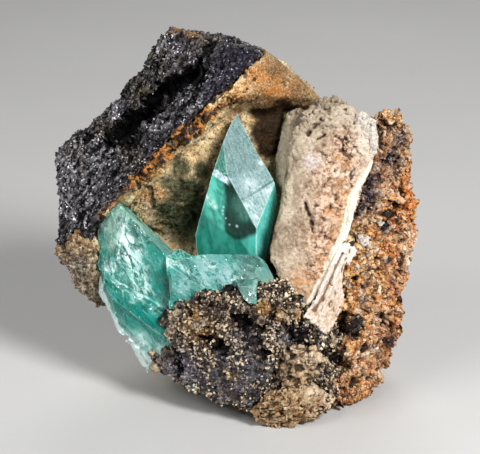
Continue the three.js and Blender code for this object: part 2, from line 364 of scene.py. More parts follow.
# A closed shape about 2 across, as corners and triangles: rings of corners between two poles.
def ringSolid(sides, heights, widths):
    angle = np.arange(sides) * 2 * math.pi / sides
    rings = [np.stack([w * np.cos(angle + 0.5 * k), w * np.sin(angle + 0.5 * k), np.full(sides, h)], axis=1)
             for k, (h, w) in enumerate(zip(heights[1:-1], widths))]
    corners = np.concatenate([[[0, 0, heights[0]]]] + rings + [[[0, 0, heights[-1]]]])
    near = np.arange(sides)
    far = (near + 1) % sides
    faces = [np.stack([np.zeros(sides, int), 1 + far, 1 + near], axis=1)]
    for k in range(len(rings) - 1):
        low, high = 1 + k * sides, 1 + (k + 1) * sides
        faces.append(np.stack([low + near, low + far, high + far], axis=1))
        faces.append(np.stack([low + near, high + far, high + near], axis=1))
    top = 1 + (len(rings) - 1) * sides
    faces.append(np.stack([np.full(sides, len(corners) - 1), top + near, top + far], axis=1))
    return corners, np.concatenate(faces)


grainSolid = ringSolid(4, [-0.8, -0.55, 0.6, 0.85], [0.95, 0.85])  # 16 triangles, a stubby crystal


# Places on a surface and their normals: faces drawn by area times wanted, a chance place on each.
def scattered(p, faces, wanted, count, chance):
    flat = np.cross(p[faces[:, 2]] - p[faces[:, 0]], p[faces[:, -1]] - p[faces[:, 1]])
    area = np.linalg.norm(flat, axis=1)
    weight = area * np.clip(wanted, 0, None)
    picked = chance.choice(len(faces), count, p=weight / weight.sum())
    share = chance.dirichlet(np.ones(faces.shape[1]), count)
    places = (p[faces[picked]] * share[:, :, None]).sum(axis=1)
    return places, flat[picked] / area[picked][:, None]


# The first place in each cell of a grid, so that grains don't pile up.
def thinned(places, gap):
    cell = np.floor(places / gap).astype(int)
    _, first = np.unique(cell, axis=0, return_index=True)
    return np.sort(first)


# One mesh of grains: each is the solid made uneven by jitter, sized, leaned by chance from the normal, and
# sunk.
def grainMesh(name, places, normals, sizes, chance, own, lean=1.0, jitter=0.25, sink=0.2, stretch=(1, 1, 1)):
    corners, faces = grainSolid
    count = len(places)
    up = normals + lean * chance.normal(size=(count, 3))
    up /= np.linalg.norm(up, axis=1)[:, None]
    side = np.cross(up, chance.normal(size=(count, 3)))
    side /= np.linalg.norm(side, axis=1)[:, None]
    other = np.cross(up, side)
    local = corners[None] * (1 + jitter * chance.uniform(-1, 1, (count, len(corners), 3))) * np.array(stretch)
    local = local * (1 + 0.35 * chance.uniform(-1, 1, (count, 1, 3))) * sizes[:, None, None] / 2
    turned = local[..., 0:1] * side[:, None] + local[..., 1:2] * other[:, None]
    turned = turned + local[..., 2:3] * up[:, None]
    middle = places + normals * (0.5 - sink) * sizes[:, None]
    p = (middle[:, None] + turned).reshape(-1, 3)
    allFaces = (faces[None] + (np.arange(count) * len(corners))[:, None, None]).reshape(-1, 3)
    own = dict(own, tone=chance.uniform(0, 1, count))
    fields = {key: np.repeat(value, len(corners)) for key, value in own.items()}
    return meshObject(name, p, allFaces, fields, False)


# A socket that can be used in sums: an expression on wires adds its Math nodes.
class Wire:
    def __init__(self, finish, socket):
        self.finish = finish
        self.socket = socket

    def __add__(self, other):
        return self.finish.maths("ADD", self, other)

    def __sub__(self, other):
        return self.finish.maths("SUBTRACT", self, other)

    def __rsub__(self, other):
        return self.finish.maths("SUBTRACT", other, self)

    def __mul__(self, other):
        return self.finish.maths("MULTIPLY", self, other)

    __radd__ = __add__
    __rmul__ = __mul__


# A material under construction, with its colours by name. Its coordinates are the object's own, in
# millimetres.
class Finish:
    def __init__(self, name, tints=None):
        self.tints = tints
        self.material = bpy.data.materials.new(name)
        self.material.use_nodes = True
        self.tree = self.material.node_tree
        self.tree.nodes.clear()
        self.output = self.tree.nodes.new("ShaderNodeOutputMaterial")
        coordinates = self.add("ShaderNodeTexCoord", {}, {}, "Object")
        inputs = {0: coordinates, "Scale": 1 / mm}
        self.place = self.vector("SCALE", inputs)

    # A node of any type: settings first, then the values or links of its sockets. Returns one output.
    def add(self, kind, settings, inputs, output=0):
        node = self.tree.nodes.new(kind)
        for key, value in settings.items():
            if key == "stops":
                while len(node.color_ramp.elements) < len(value):
                    node.color_ramp.elements.new(0.5)
                for element, (position, colour) in zip(node.color_ramp.elements, value):
                    element.position = position
                    element.color = (*colour, 1)
            else:
                setattr(node, key, value)
        for key, value in inputs.items():
            if isinstance(value, Wire):
                self.tree.links.new(value.socket, node.inputs[key])
            elif isinstance(value, tuple) and node.inputs[key].type == "RGBA":
                node.inputs[key].default_value = (*value, 1)
            else:
                node.inputs[key].default_value = value
        return Wire(self, node.outputs[output])

    def vector(self, operation, inputs, output=0):
        return self.add("ShaderNodeVectorMath", {"operation": operation}, inputs, output)

    def maths(self, operation, a, b):
        return self.add("ShaderNodeMath", {"operation": operation}, {0: a, 1: b})

    def mix(self, factor, a, b):
        settings = {"data_type": "RGBA", "clamp_factor": True}
        return self.add("ShaderNodeMix", settings, {0: factor, 6: a, 7: b}, 2)

    # A named colour over a share of base. With by (a value, low, high) it is a pair: the first where the
    # value is low, the second where it is high.
    def lay(self, base, key, share, by=None):
        colour = self.tints[key]
        if by is not None:
            colour = self.mix(self.ramp(*by), *colour)
        return self.mix(share, base, colour)

    # The same where the field of that name is high, times the other factors.
    def over(self, base, key, *factors, by=None):
        share = self[key]
        for factor in factors:
            share = share * factor
        return self.lay(base, key, share, by)

    # 0 to 1 as value goes from low to high, clamped.
    def ramp(self, value, low, high):
        settings = {"interpolation_type": "SMOOTHSTEP"}
        return self.add("ShaderNodeMapRange", settings, {"Value": value, "From Min": low, "From Max": high})

    def noise(self, size, detail=3.0, rough=0.55, stretch=None, output="Fac", warp=0.0):
        settings = {"noise_dimensions": "3D"}
        inputs = {"Vector": self.stretched(stretch), "Scale": 1 / size, "Detail": detail, "Roughness": rough,
                  "Distortion": warp}
        return self.add("ShaderNodeTexNoise", settings, inputs, output)

    # Noise of chance cells: the distance to each one's seed or border, or its own colour.
    def cells(self, size, feature="F1", output="Distance", stretch=None):
        inputs = {"Vector": self.stretched(stretch), "Scale": 1 / size}
        return self.add("ShaderNodeTexVoronoi", {"feature": feature}, inputs, output)

    # The place with the pattern drawn out by three stretches, in a frame turned by three angles if they are
    # given.
    def stretched(self, stretch):
        if stretch is None:
            return self.place
        turn = tuple(math.radians(a) for a in stretch[3:]) if len(stretch) > 3 else (0, 0, 0)
        inputs = {"Vector": self.place, "Rotation": turn, "Scale": tuple(stretch[:3])}
        return self.add("ShaderNodeMapping", {"vector_type": "TEXTURE"}, inputs)

    # The normal leaned by chance in every cell, so that each glints on its own.
    def glitter(self, size, lean, share=1.0):
        colour = self.cells(size, output="Color")
        inputs = {0: colour, 1: (lean, lean, lean), 2: (-lean / 2, -lean / 2, -lean / 2)}
        shift = self.vector("MULTIPLY_ADD", inputs)
        shift = self.vector("SCALE", {0: shift, "Scale": share})
        normal = self.add("ShaderNodeNewGeometry", {}, {}, "Normal")
        total = self.vector("ADD", {0: normal, 1: shift})
        return self.vector("NORMALIZE", {0: total})

    # Thin bright lines where a noise crosses its middle.
    def threads(self, size, width, stretch):
        away = self.maths("ABSOLUTE", self.noise(size, 2, 0.5, stretch, warp=0.8) - 0.5, 0)
        return 1 - self.ramp(away, 0.0, width)

    # 1 along the straight line from a to b, less to its sides up to width, fading past both ends; wander
    # bends it.
    def streak(self, a, b, width, soft, wander=0.0):
        a, b = np.array(a, float), np.array(b, float)
        length = float(np.linalg.norm(b - a))
        way = tuple((b - a) / length)
        place = self.place
        if wander:
            noise = self.noise(2.0, 2, output="Color")
            inputs = {0: noise, 1: (wander, wander, wander), 2: place}
            place = self.vector("MULTIPLY_ADD", inputs)
            a = a + wander / 2
        shift = self.vector("SUBTRACT", {0: place, 1: tuple(a)})
        across = self.vector("CROSS_PRODUCT", {0: shift, 1: way})
        far = self.vector("LENGTH", {0: across}, "Value")
        along = self.vector("DOT_PRODUCT", {0: shift, 1: way}, "Value")
        ends = self.ramp(along, -width, width) * (1 - self.ramp(along, length - width, length + width))
        return (1 - self.ramp(far, width * (1 - soft), width)) * ends

    # One number of each seed's random colour.
    def cellMark(self, size, channel="Red", stretch=None):
        colour = self.cells(size, output="Color", stretch=stretch)
        return self.add("ShaderNodeSeparateColor", {}, {"Color": colour}, channel)

    # The field of that name on the mesh.
    def __getitem__(self, name):
        return self.add("ShaderNodeAttribute", {"attribute_name": name}, {}, "Fac")

    def bump(self, height, depth, strength=1.0, under=None):
        inputs = {"Height": height, "Distance": depth * mm, "Strength": strength}
        if under is not None:
            inputs["Normal"] = under
        return self.add("ShaderNodeBump", {}, inputs, "Normal")

    def surface(self, shader, volume=None):
        self.tree.links.new(shader.socket, self.output.inputs["Surface"])
        if volume is not None:
            self.tree.links.new(volume.socket, self.output.inputs["Volume"])
        return self.material

    def coat(self, colour, rough, normal, **more):
        inputs = {"Base Color": colour, "Roughness": rough, "Normal": normal}
        inputs.update({key.replace("_", " "): value for key, value in more.items()})
        return self.add("ShaderNodeBsdfPrincipled", {}, inputs, "BSDF")

    # A rock's skin: a fine noise as relief, with facets of a given size that each lean their own way.
    def stone(self, colour, rough, grit, **more):
        height = self.noise(grit["size"], grit["layers"], 0.7)
        relief = self.bump(height, grit["depth"], grit["strength"], self.glitter(grit["facet"], grit["lean"]))
        return self.surface(self.coat(colour, rough, relief, Specular_IOR_Level=grit["gloss"], **more))


# A finished piece: material on, riding on the one body, with the nodes it stands for hidden. The slot
# argument is not used.
def settle(piece, material, slot, *replaced):
    piece.data.materials.clear()
    piece.data.materials.append(material)
    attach(piece, "root")
    if replaced:
        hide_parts(*replaced)


# The sharp edges of a node, as two arrays of end points.
def sharpEdges(node, turn):
    build = bmesh.new()
    build.from_mesh(joinedMesh(node))
    sharp = [e for e in build.edges if e.calc_face_angle(0) > math.radians(turn)]
    ends = np.array([[v.co[:] for v in e.verts] for e in sharp]) / mm
    build.free()
    return ends[:, 0], ends[:, 1]


# Distance from each point to the nearest of a set of straight edges.
def fromEdges(p, ends):
    best = np.full(len(p), 1e9)
    for a, b in zip(*ends):
        t = np.clip(((p - a) @ (b - a)) / max((b - a) @ (b - a), 1e-9), 0, 1)
        best = np.minimum(best, np.linalg.norm(p - a - t[:, None] * (b - a), axis=1))
    return best


# The dark ore rock at the back left.
darkRock = {
    "faceSize": 0.3,
    "fissure": [(-27.4, 0, 60.3), (-24.5, 0, 63.2), (-20.8, 0, 66.2), (-19, 0, 69), (-16, 0, 72),
                (-12.5, 0, 74), (-8, 0, 76.6)],
    "rim": [(-30.5, -4, 44.2), (-12.9, -5, 62.9), (-1.8, -3, 72.6), (5.4, -0.4, 79.4)],
    "grain": (0.53, 0, 0.85),  # direction of the bands
    "violet": [(-12.5, 2, 83, 3.5), (-3, 2, 77, 5), (2, 2, 79, 4), (-5, 0, 73, 4), (-37, 2, 48, 4)],
    "olive": [(-37, 2, 56, 4), (-30, 3, 62, 4), (-22, 3, 71, 4), (-16, 5, 78, 5), (-8, 4, 82, 5),
              (-24, -3, 58, 3)],
    "bright": [(-38, 2, 51, 6), (-37, 0, 45, 6), (-34, -1, 48, 4), (-31, 1, 57, 4), (-27, 5, 66, 3),
               (-15, 5, 81, 3), (-17, -2, 65, 1.8), (-10, -2, 69.5, 1.8)],
    "dim": [(1, 3, 78.5, 5.5), (4, 2, 78, 4), (-1, 1, 76, 4)],
    "lip": [(-14, 6, 85.5, 1.6), (-9.5, 5, 84.6, 1.6)],
    "crumbs": [(0.8, 5, 81.7, 1.4), (5.3, 4, 80.3, 1.6), (-4.3, 5, 82.8, 1)],
    "grit": dict(size=0.26, layers=3, depth=0.16, strength=0.9, facet=0.36, lean=1.0, gloss=0.1),
    # pit, gap and crack are colours of painted shade in pits, hollows and the fissure
    "tints": {
        "matrix": ((0.013, 0.011, 0.013), (0.058, 0.053, 0.056)), "olive": (0.082, 0.06, 0.03),
        "bright": (0.3, 0.285, 0.3), "violet": (0.05, 0.047, 0.078), "speck": (0.21, 0.2, 0.21),
        "grain": (0.004, 0.0035, 0.004), "rust": (0.36, 0.17, 0.055), "crumbs": (0.55, 0.5, 0.42),
        "pit": (0.002, 0.002, 0.002), "dim": (0.014, 0.012, 0.024), "gap": (0.002, 0.002, 0.002),
        "fleck": (0.8, 0.77, 0.84), "glint": (0.62, 0.6, 0.68), "crack": (0.001, 0.001, 0.001),
    },
}


# Out along the normals by broad waves, flat facets and crumples drawn out along the bands; in by 2 along the
# fissure, with a lip beside it; then small facets, ridges where a noise is near 0, and pits where one is
# high.
def sculptDark():
    look = darkRock
    p, faces = rockSkin("dark_rock", look["faceSize"], 3)
    n = normalsOf(p, faces)
    grain = np.array(look["grain"]) / np.linalg.norm(look["grain"])
    banded = p - (p @ grain)[:, None] * grain * 0.62  # drawn out along the bands
    height = 0.9 * crumple(p, 12, 2, 11) + 0.6 * facets(banded, 4.6, 12) + 0.34 * crumple(banded, 2.6, 3, 13)
    away, _ = fromLine(p, look["fissure"], flat=True)
    away = away + 0.8 * crumple(p, 2.2, 3, 10) + 0.9 * facets(p, 1.7, 19)
    front = rise(-n[:, 1], -0.3, 0.4)
    crack = rise(2.1 - away, 0.0, 0.45) * front
    height = height * (1 - crack) - 2.0 * crack + 0.5 * bell(away - 2.6, 0.6) * front
    p = p + n * height[:, None]
    n = normalsOf(p, faces)
    banded = p - (p @ grain)[:, None] * grain * 0.62
    small = 0.19 * facets(banded, 1.5, 14) + 0.25 * facets(p, 0.8, 15, 1.6)
    threads = 0.2 * (1 - np.abs(crumple(banded, 1.1, 2, 16)) * 3)
    pit = rise(crumple(banded, 2.1, 2, 17), 0.3, 0.55)
    height = small + threads - 0.75 * pit * (1 - crack)
    p = p + n * height[:, None]
    rim, _ = fromLine(p, look["rim"])
    seam, _ = fromLine(p, ochreWall["darkSeam"], flat=True)
    rust = bell(rim, 0.9) * 0.8 + around(p, look["lip"])
    fields = {
        "pit": np.clip(0.75 * pit + 0.5 - small - threads + crack, 0, 1),
        "gap": hollowness(p, faces, 6),
        "crack": crack,
        "rust": np.clip(rust + bell(seam, 2.2) * rise(p[:, 1], 4, 8) * 0.8, 0, 1),
        **spotted(p, look, "violet", "olive", "bright", "dim", "crumbs"),
    }
    return p, faces, fields


# Black to grey by noises drawn out along the bands, then the colours of the spots, painted shade in pits,
# hollows and the fissure, bright flecks.
def darkFinish(name):
    f = Finish(name, darkRock["tints"])
    along = (2.4, 1, 1, 0, -58, 0)
    broad = f.noise(4.0, 3, 0.6, along)
    small = f.noise(0.95, 3, 0.68, along)
    base = f.mix(f.ramp(broad, 0.38, 0.66), *f.tints["matrix"])
    base = f.over(base, "olive", 0.85)
    base = f.over(base, "bright", f.ramp(broad, 0.28, 0.58), 0.9)
    base = f.over(base, "violet", 0.5)
    base = f.lay(base, "speck", f.ramp(small, 0.53, 0.68) * 0.8)
    base = f.mix(f.ramp(small, 0.4, 0.52), f.tints["grain"], base)
    base = f.over(base, "rust", f.ramp(f.noise(1.1, 3), 0.38, 0.55))
    base = f.over(base, "crumbs", f.ramp(small, 0.42, 0.55))
    # painted shade in pits and low places
    shade = f.ramp(f["pit"], 0.45, 0.85) * 0.9
    base = f.lay(base, "pit", shade)
    base = f.over(base, "dim", 0.88)
    # painted shade in hollows, where the surface lies below the surface around it
    base = f.lay(base, "gap", f.ramp(f["gap"], 0.0, 0.12) * 0.8)
    fleck = f.ramp(f.cellMark(0.36), 0.84, 0.93) * (1 - shade) * (1 - f["dim"] * 0.7)
    fleck = fleck * (0.1 + f["bright"] * f.ramp(f.noise(2.2, 2, 0.5, along), 0.38, 0.6) * 1.6)
    colour = f.mix(fleck, base, f.tints["fleck"])
    # painted glints: bright specks in the colour that stand for sparkle, the same under any light
    glint = f.ramp(f.cellMark(0.27, "Green"), 0.955, 0.975)
    glint = glint * f.ramp(f.noise(1.7, 2), 0.42, 0.55) * (1 - shade)
    colour = f.lay(colour, "glint", glint * 0.9)
    # the fissure painted almost black as its shade
    colour = f.over(colour, "crack")
    rough = 0.42 + f["crack"] * 0.5
    return f.stone(colour, rough, darkRock["grit"], Metallic=fleck * 0.6)


# The ochre wall behind the crystals.
ochreWall = {
    "faceSize": 0.45,
    "rim": [(-30, -3.5, 46.7), (-24.9, -4.3, 50.3), (-19.3, -3.8, 56), (-13.6, -4.1, 61.9), (-8, -2.5, 66.5),
            (-0.3, 0.6, 71), (4.5, -0.3, 77)],
    "knobs": [(-19.3, -3.8, 56, 3), (-15.5, -4, 60, 3.2), (-11, -4, 64.5, 3.4), (-7.5, -2.5, 67, 2.6),
              (-1.5, 0.3, 70, 2.6)],
    "holes": [(-10.6, -4, 63.4, 0.9), (-7.9, -2, 66.2, 0.9), (-3.2, 0.3, 67.6, 1.5), (-0.5, 0.3, 67.9, 0.9),
              (-16.5, -4, 57.7, 0.8)],
    "crack": [(-20.5, 3, 49.5), (-19.4, 3.5, 46.4), (-19, 4, 43)],
    "undercut": [(-21, -3.5, 52.5), (-15, -3.5, 57.5), (-9.5, -3, 62.5), (-5.5, -1, 65), (1, 0.5, 70)],
    # painted shade, olive, in the recess behind the crystals
    "olive": [(-12.5, 5, 49, 5), (-12, 5, 41, 6), (-9, 5, 44, 5), (-14, 5, 55, 2.5)],
    "smooth": [(9, 2, 76, 7), (13, 2, 71, 8), (7, 1, 70, 5)],
    "orange": [(-25, -3, 46.5, 2.2), (-17.5, 4, 47, 2), (5, -0.5, 75, 4), (-9.5, -3.5, 65.8, 3.5),
               (-4, -0.5, 68.5, 2.5), (-27, -4, 48.5, 4), (-21, 3, 47, 3), (9, 0, 72, 4), (1, 0.3, 70.8, 3.4),
               (-5, -1, 66.5, 2.4), (4, 0, 72.5, 3)],
    "brown": [(5, 0.8, 68.5, 3), (2, 0.3, 67, 2.2), (-18, 5, 40, 3.4), (-15, 7, 37, 3.6),
              (-19, -3.8, 56, 3.5), (-15, -4, 60, 3.5), (-20, 3.5, 43, 3), (4, 2, 70, 2.5)],
    "shadow": [(9.5, 5, 65, 4.5), (7, 5.5, 61, 4), (8, 6, 57, 3.5), (5.5, 5.5, 66, 2.5), (10, 4, 68, 2.5)],
    # painted shade, dark green as if tinted by light from the crystals, in the recess behind them
    "green": [(-16, 5, 49.5, 2.2), (-11.5, 5, 47, 5), (-12, 7, 39, 7), (-12.5, 5, 52.5, 2.8), (-9, 6, 42, 5),
              (-15.5, 5.5, 42, 4), (-8, 5, 52, 2.5)],
    "crust": [(-36, -2, 31, 8), (-34, -2, 24, 7)],
    # where it meets the dark rock
    "darkSeam": [(6.4, 0, 80.6), (2.3, 0, 69.5), (-6.4, 0, 52.2), (-17.6, 0, 45.1), (-30.8, 0, 39.6),
                 (-39.6, 0, 33.9)],
    "rustySeam": [(19.9, 0, 68), (19.9, 0, 0)],  # and the rusty block
    "grit": dict(size=0.3, layers=3, depth=0.18, strength=0.9, facet=0.4, lean=0.6, gloss=0.1),
    "tints": {
        "tan": ((0.76, 0.5, 0.22), (0.9, 0.71, 0.42)), "back": (0.2, 0.115, 0.055),
        "seam": ((0.075, 0.03, 0.01), (0.4, 0.17, 0.045)),
        "smooth": ((0.058, 0.018, 0.004), (0.145, 0.07, 0.026)), "orange": (0.46, 0.165, 0.026),
        "brown": ((0.06, 0.026, 0.009), (0.14, 0.068, 0.024)), "olive": (0.12, 0.125, 0.065),
        "green": ((0.006, 0.012, 0.005), (0.05, 0.075, 0.036)),
        "crust": ((0.03, 0.026, 0.022), (0.33, 0.3, 0.255)), "shadow": (0.01, 0.005, 0.002),
        "speck": (0.9, 0.78, 0.52), "sugar": ((0.98, 0.86, 0.6), (0.085, 0.115, 0.055)),
        "grain": (0.085, 0.036, 0.01), "pit": (0.03, 0.013, 0.004),
    },
}


# Out by broad waves, facets and crumples, coarser at the back; then small facets, less where it is smooth,
# and knobs near the seeds; in by pits where a noise is high, by round holes, a crack and an undercut.
def sculptWall():
    look = ochreWall
    p, faces = rockSkin("ochre_wall", look["faceSize"], 4)
    n = normalsOf(p, faces)
    smooth = around(p, look["smooth"])
    crust = around(p, look["crust"])
    rough = 0.42 * facets(p, 4.2, 22) + 0.3 * crumple(p, 3.0, 3, 20)
    height = 0.9 * crumple(p, 12, 2, 21) + rough * (1 - 0.55 * smooth)
    back = rise(p[:, 1], 8, 13)
    height += back * (1.3 * facets(p, 7.5, 29, 0.9) + 0.9 * facets(p, 3.2, 26))
    p = p + n * height[:, None]
    n = normalsOf(p, faces)
    knobs = around(p, look["knobs"])
    near, _, mark, _ = seeds(p, 1.9, 24)
    knob = rise(0.75 - near, 0, 0.6) * (0.5 + 0.9 * mark)
    small = 0.2 * facets(p, 1.5, 23) + 0.24 * facets(p, 0.9, 28, 1.6)
    pit = rise(crumple(p, 1.9, 2, 25) + 0.1 * back, 0.44, 0.68) * (1 - 0.7 * smooth)
    hole = around(p, look["holes"])
    away, _ = fromLine(p, look["crack"], flat=True)
    crack = bell(away + 0.3 * crumple(p, 1.5, 2, 27), 0.5) * rise(-n[:, 1], 0, 0.5) * (p[:, 1] < 9)
    under, _ = fromLine(p, look["undercut"])
    under = bell(under, 0.8)
    darkSeam, _ = fromLine(p, look["darkSeam"], flat=True)
    rustySeam, _ = fromLine(p, look["rustySeam"], flat=True)
    height = small * (1 - 0.6 * smooth + 0.7 * back) + (knobs + 0.8 * crust) * (1.1 * knob - 0.3)
    height += -0.5 * pit - 1.5 * hole - 0.9 * crack - 0.6 * under
    p = p + n * height[:, None]
    p[:, 2] = np.maximum(p[:, 2], 0.0)
    deep = 0.8 * pit + hole * 1.3 + crack * 1.2 + 0.7 * under
    fields = {
        "pit": np.clip(deep + 0.45 - small - 0.3 * knobs * knob, 0, 1),
        "smooth": smooth,
        "shadow": rise(around(p, look["shadow"]), 0.12, 0.55),
        "green": rise(around(p, look["green"]), 0.15, 0.8),
        "crust": np.clip(crust, 0, 1),
        "back": rise(p[:, 1], 9, 13),
        "seam": np.maximum(bell(darkSeam, 2.4), bell(rustySeam, 3.0)) * rise(p[:, 1], 2, 6),
        **spotted(p, look, "olive", "orange", "brown"),
    }
    return p, faces, fields


# Tan by a broad noise, then the colours of the spots broken up by noises, with painted shade in the olive
# and green places, light and dark specks, and painted shade in pits, holes, the crack and the undercut.
def wallFinish(name):
    f = Finish(name, ochreWall["tints"])
    broad = f.noise(4.2, 3, 0.6)
    small = f.noise(0.85, 3, 0.68)
    stain = f.noise(13, 2, 0.5)
    tan = f.mix(f.ramp(broad, 0.36, 0.64), *f.tints["tan"])
    tan = f.over(tan, "back", f.ramp(stain, 0.4, 0.6), 0.8)
    tan = f.over(tan, "seam", f.ramp(f.noise(2.2, 4, 0.65), 0.36, 0.56), 0.95, by=(broad, 0.4, 0.6))
    tan = f.over(tan, "smooth", 0.95, by=(f.noise(2.6, 3), 0.38, 0.62))
    tan = f.over(tan, "orange", f.ramp(f.noise(1.8, 3), 0.33, 0.56))
    tan = f.over(tan, "brown", 0.85, by=(broad, 0.4, 0.6))
    # painted shade in the recess behind the crystals, olive and dark green
    tan = f.over(tan, "olive", f.ramp(broad, 0.25, 0.55), 0.6)
    tan = f.over(tan, "green", f.ramp(broad, 0.05, 0.4), 0.96, by=(f.noise(1.3, 4, 0.65), 0.4, 0.62))
    tan = f.over(tan, "crust", 0.9, by=(f.noise(1.6, 4, 0.65), 0.4, 0.6))
    tan = f.over(tan, "shadow", 0.98)
    lit = 1 - f["shadow"]
    specks = f.ramp(small, 0.54, 0.68) * 0.6 * lit
    specks = specks * (1 - f["green"] * 0.75) * (1 - f["smooth"] * 0.85)
    tan = f.lay(tan, "speck", specks)
    sugar = f.ramp(f.noise(0.4, 2, 0.75), 0.53, 0.61) * 0.5 * lit * (1 - f["smooth"] * 0.6)
    tan = f.mix(sugar, tan, f.mix(f["green"] * 0.95, *f.tints["sugar"]))
    tan = f.mix(f.ramp(f.noise(0.5, 3, 0.7), 0.38, 0.48), f.mix(0.7, tan, f.tints["grain"]), tan)
    # painted shade in pits, holes, the crack and the undercut
    tan = f.lay(tan, "pit", f.ramp(f["pit"], 0.55, 1.1) * 0.88)
    return f.stone(tan, 0.62, ochreWall["grit"])


# The rusty block at the right.
rustyBlock = {
    "faceSize": 0.31,
    "tan": [(34, -1, 65, 5), (31, -2, 63, 3), (28, -8.5, 44.5, 3), (29, -7.5, 25, 2)],
    "violet": [(34, -1, 57, 4.6), (31, -4, 55, 3.8), (28.5, -7, 50, 5.4), (29.8, -6, 53.4, 3.6),
               (27.6, -8.6, 46.8, 2.6), (36.5, 0.5, 61, 2.6), (33, -3.5, 41, 2.2), (33.8, -3.4, 32, 1.8),
               (28, -8.5, 25.5, 2.2), (26.5, -10, 52, 2.5), (28.8, -8.2, 33, 1.7), (28.6, -8.4, 30, 1.8)],
    "gold": [(29, -8, 35, 6), (27, -9, 40, 4), (30, -6, 28, 5), (32, -4, 45, 3)],
    "dark": [(30, -6, 13, 1.5), (27, -9.6, 16, 1.5), (33, -3.2, 9, 1.4), (34.5, -1.8, 17.5, 1.3),
             (28.6, -8.4, 7, 1.4), (35, 0, 12.5, 3), (30, -5, 46.5, 1.2), (37, 0, 38, 1.3),
             (35, -1, 27, 1.3)],
    "cave": [(25.8, -12, 20.8, 2.4)],
    "orange": [(36, -1, 45, 7), (36.5, -0.5, 33, 7), (36, 0, 22, 7)],
    "pink": [(26, -11, 10.5, 7), (31, -5, 9, 7), (33, -3, 16, 5), (35, -1, 24, 4)],
    "cream": [(39, 1, 36, 3), (39, 1.5, 31, 3), (32, -6, 20, 2.5), (34, -3, 50, 1.8)],
    "grit": dict(size=0.3, layers=3, depth=0.15, strength=0.8, facet=0.45, lean=0.7, gloss=0.15),
    "tints": {
        "rust": ((0.22, 0.085, 0.028), (0.58, 0.31, 0.115)), "side": (0.085, 0.048, 0.034),
        "orange": (0.68, 0.185, 0.022), "gold": (0.66, 0.43, 0.18), "tan": (0.62, 0.4, 0.2),
        "pink": (0.4, 0.225, 0.135), "violet": ((0.012, 0.009, 0.014), (0.14, 0.118, 0.15)),
        "cream": (0.84, 0.7, 0.52), "stain": (0.045, 0.02, 0.015), "speck": (0.9, 0.74, 0.55),
        "grain": (0.04, 0.011, 0.004), "dark": (0.008, 0.006, 0.01), "pit": (0.012, 0.005, 0.003),
        "fleck": (0.86, 0.78, 0.66),
    },
    "ownStops": [  # colours of the small facets, by each one's own number
        (0.0, (0.06, 0.02, 0.012)), (0.18, (0.42, 0.115, 0.026)), (0.42, (0.84, 0.3, 0.06)),
        (0.64, (0.84, 0.5, 0.19)), (0.85, (0.84, 0.64, 0.42)), (1.0, (0.88, 0.76, 0.6))],
}


# Out by waves, facets and crumples; then each seed's cell is a knob, 1 less its distance squared, with
# sunken borders; in by pits where a noise is high, and by the cave.
def sculptRusty():
    look = rustyBlock
    p, faces = rockSkin("rusty_block", look["faceSize"], 3)
    n = normalsOf(p, faces)
    height = 1.1 * crumple(p, 9, 2, 31) + 1.25 * facets(p, 4.6, 32) + 0.8 * crumple(p, 3.2, 2, 30)
    p = p + n * height[:, None]
    n = normalsOf(p, faces)
    drift = np.stack([crumple(p, 2.5, 2, 38 + k) for k in range(3)], axis=1)
    near, second, mark, _ = seeds(p + 0.5 * drift, 1.45, 33)
    border = 1 - rise(second - near, 0.02, 0.25)
    knob = (1 - near**2) * (0.1 + 1.2 * np.sin(mark * 47) ** 2)
    small = 0.3 * facets(p, 0.9, 34, 1.5)
    pit = rise(crumple(p, 2.9, 2, 35), 0.18, 0.44)
    tan = around(p, look["tan"])
    cave = around(p, look["cave"])
    busy = 1 - 0.4 * tan
    height = busy * (small + 0.8 * knob - 0.35 * border - 1.9 * pit) - 2.2 * cave
    p = p + n * height[:, None]
    p[:, 2] = np.maximum(p[:, 2], 0.0)
    fields = {
        "pit": np.clip(0.9 * pit + 0.75 * border - 0.5 * small + cave, 0, 1),
        "mark": mark,
        "side": rise(p[:, 1] + 0.6 * (p[:, 0] - 30), 3, 9),
        "tan": tan,
        "dark": np.clip(around(p, look["dark"]) + cave, 0, 1),
        **spotted(p, look, "violet", "gold", "orange", "pink", "cream"),
    }
    return p, faces, fields


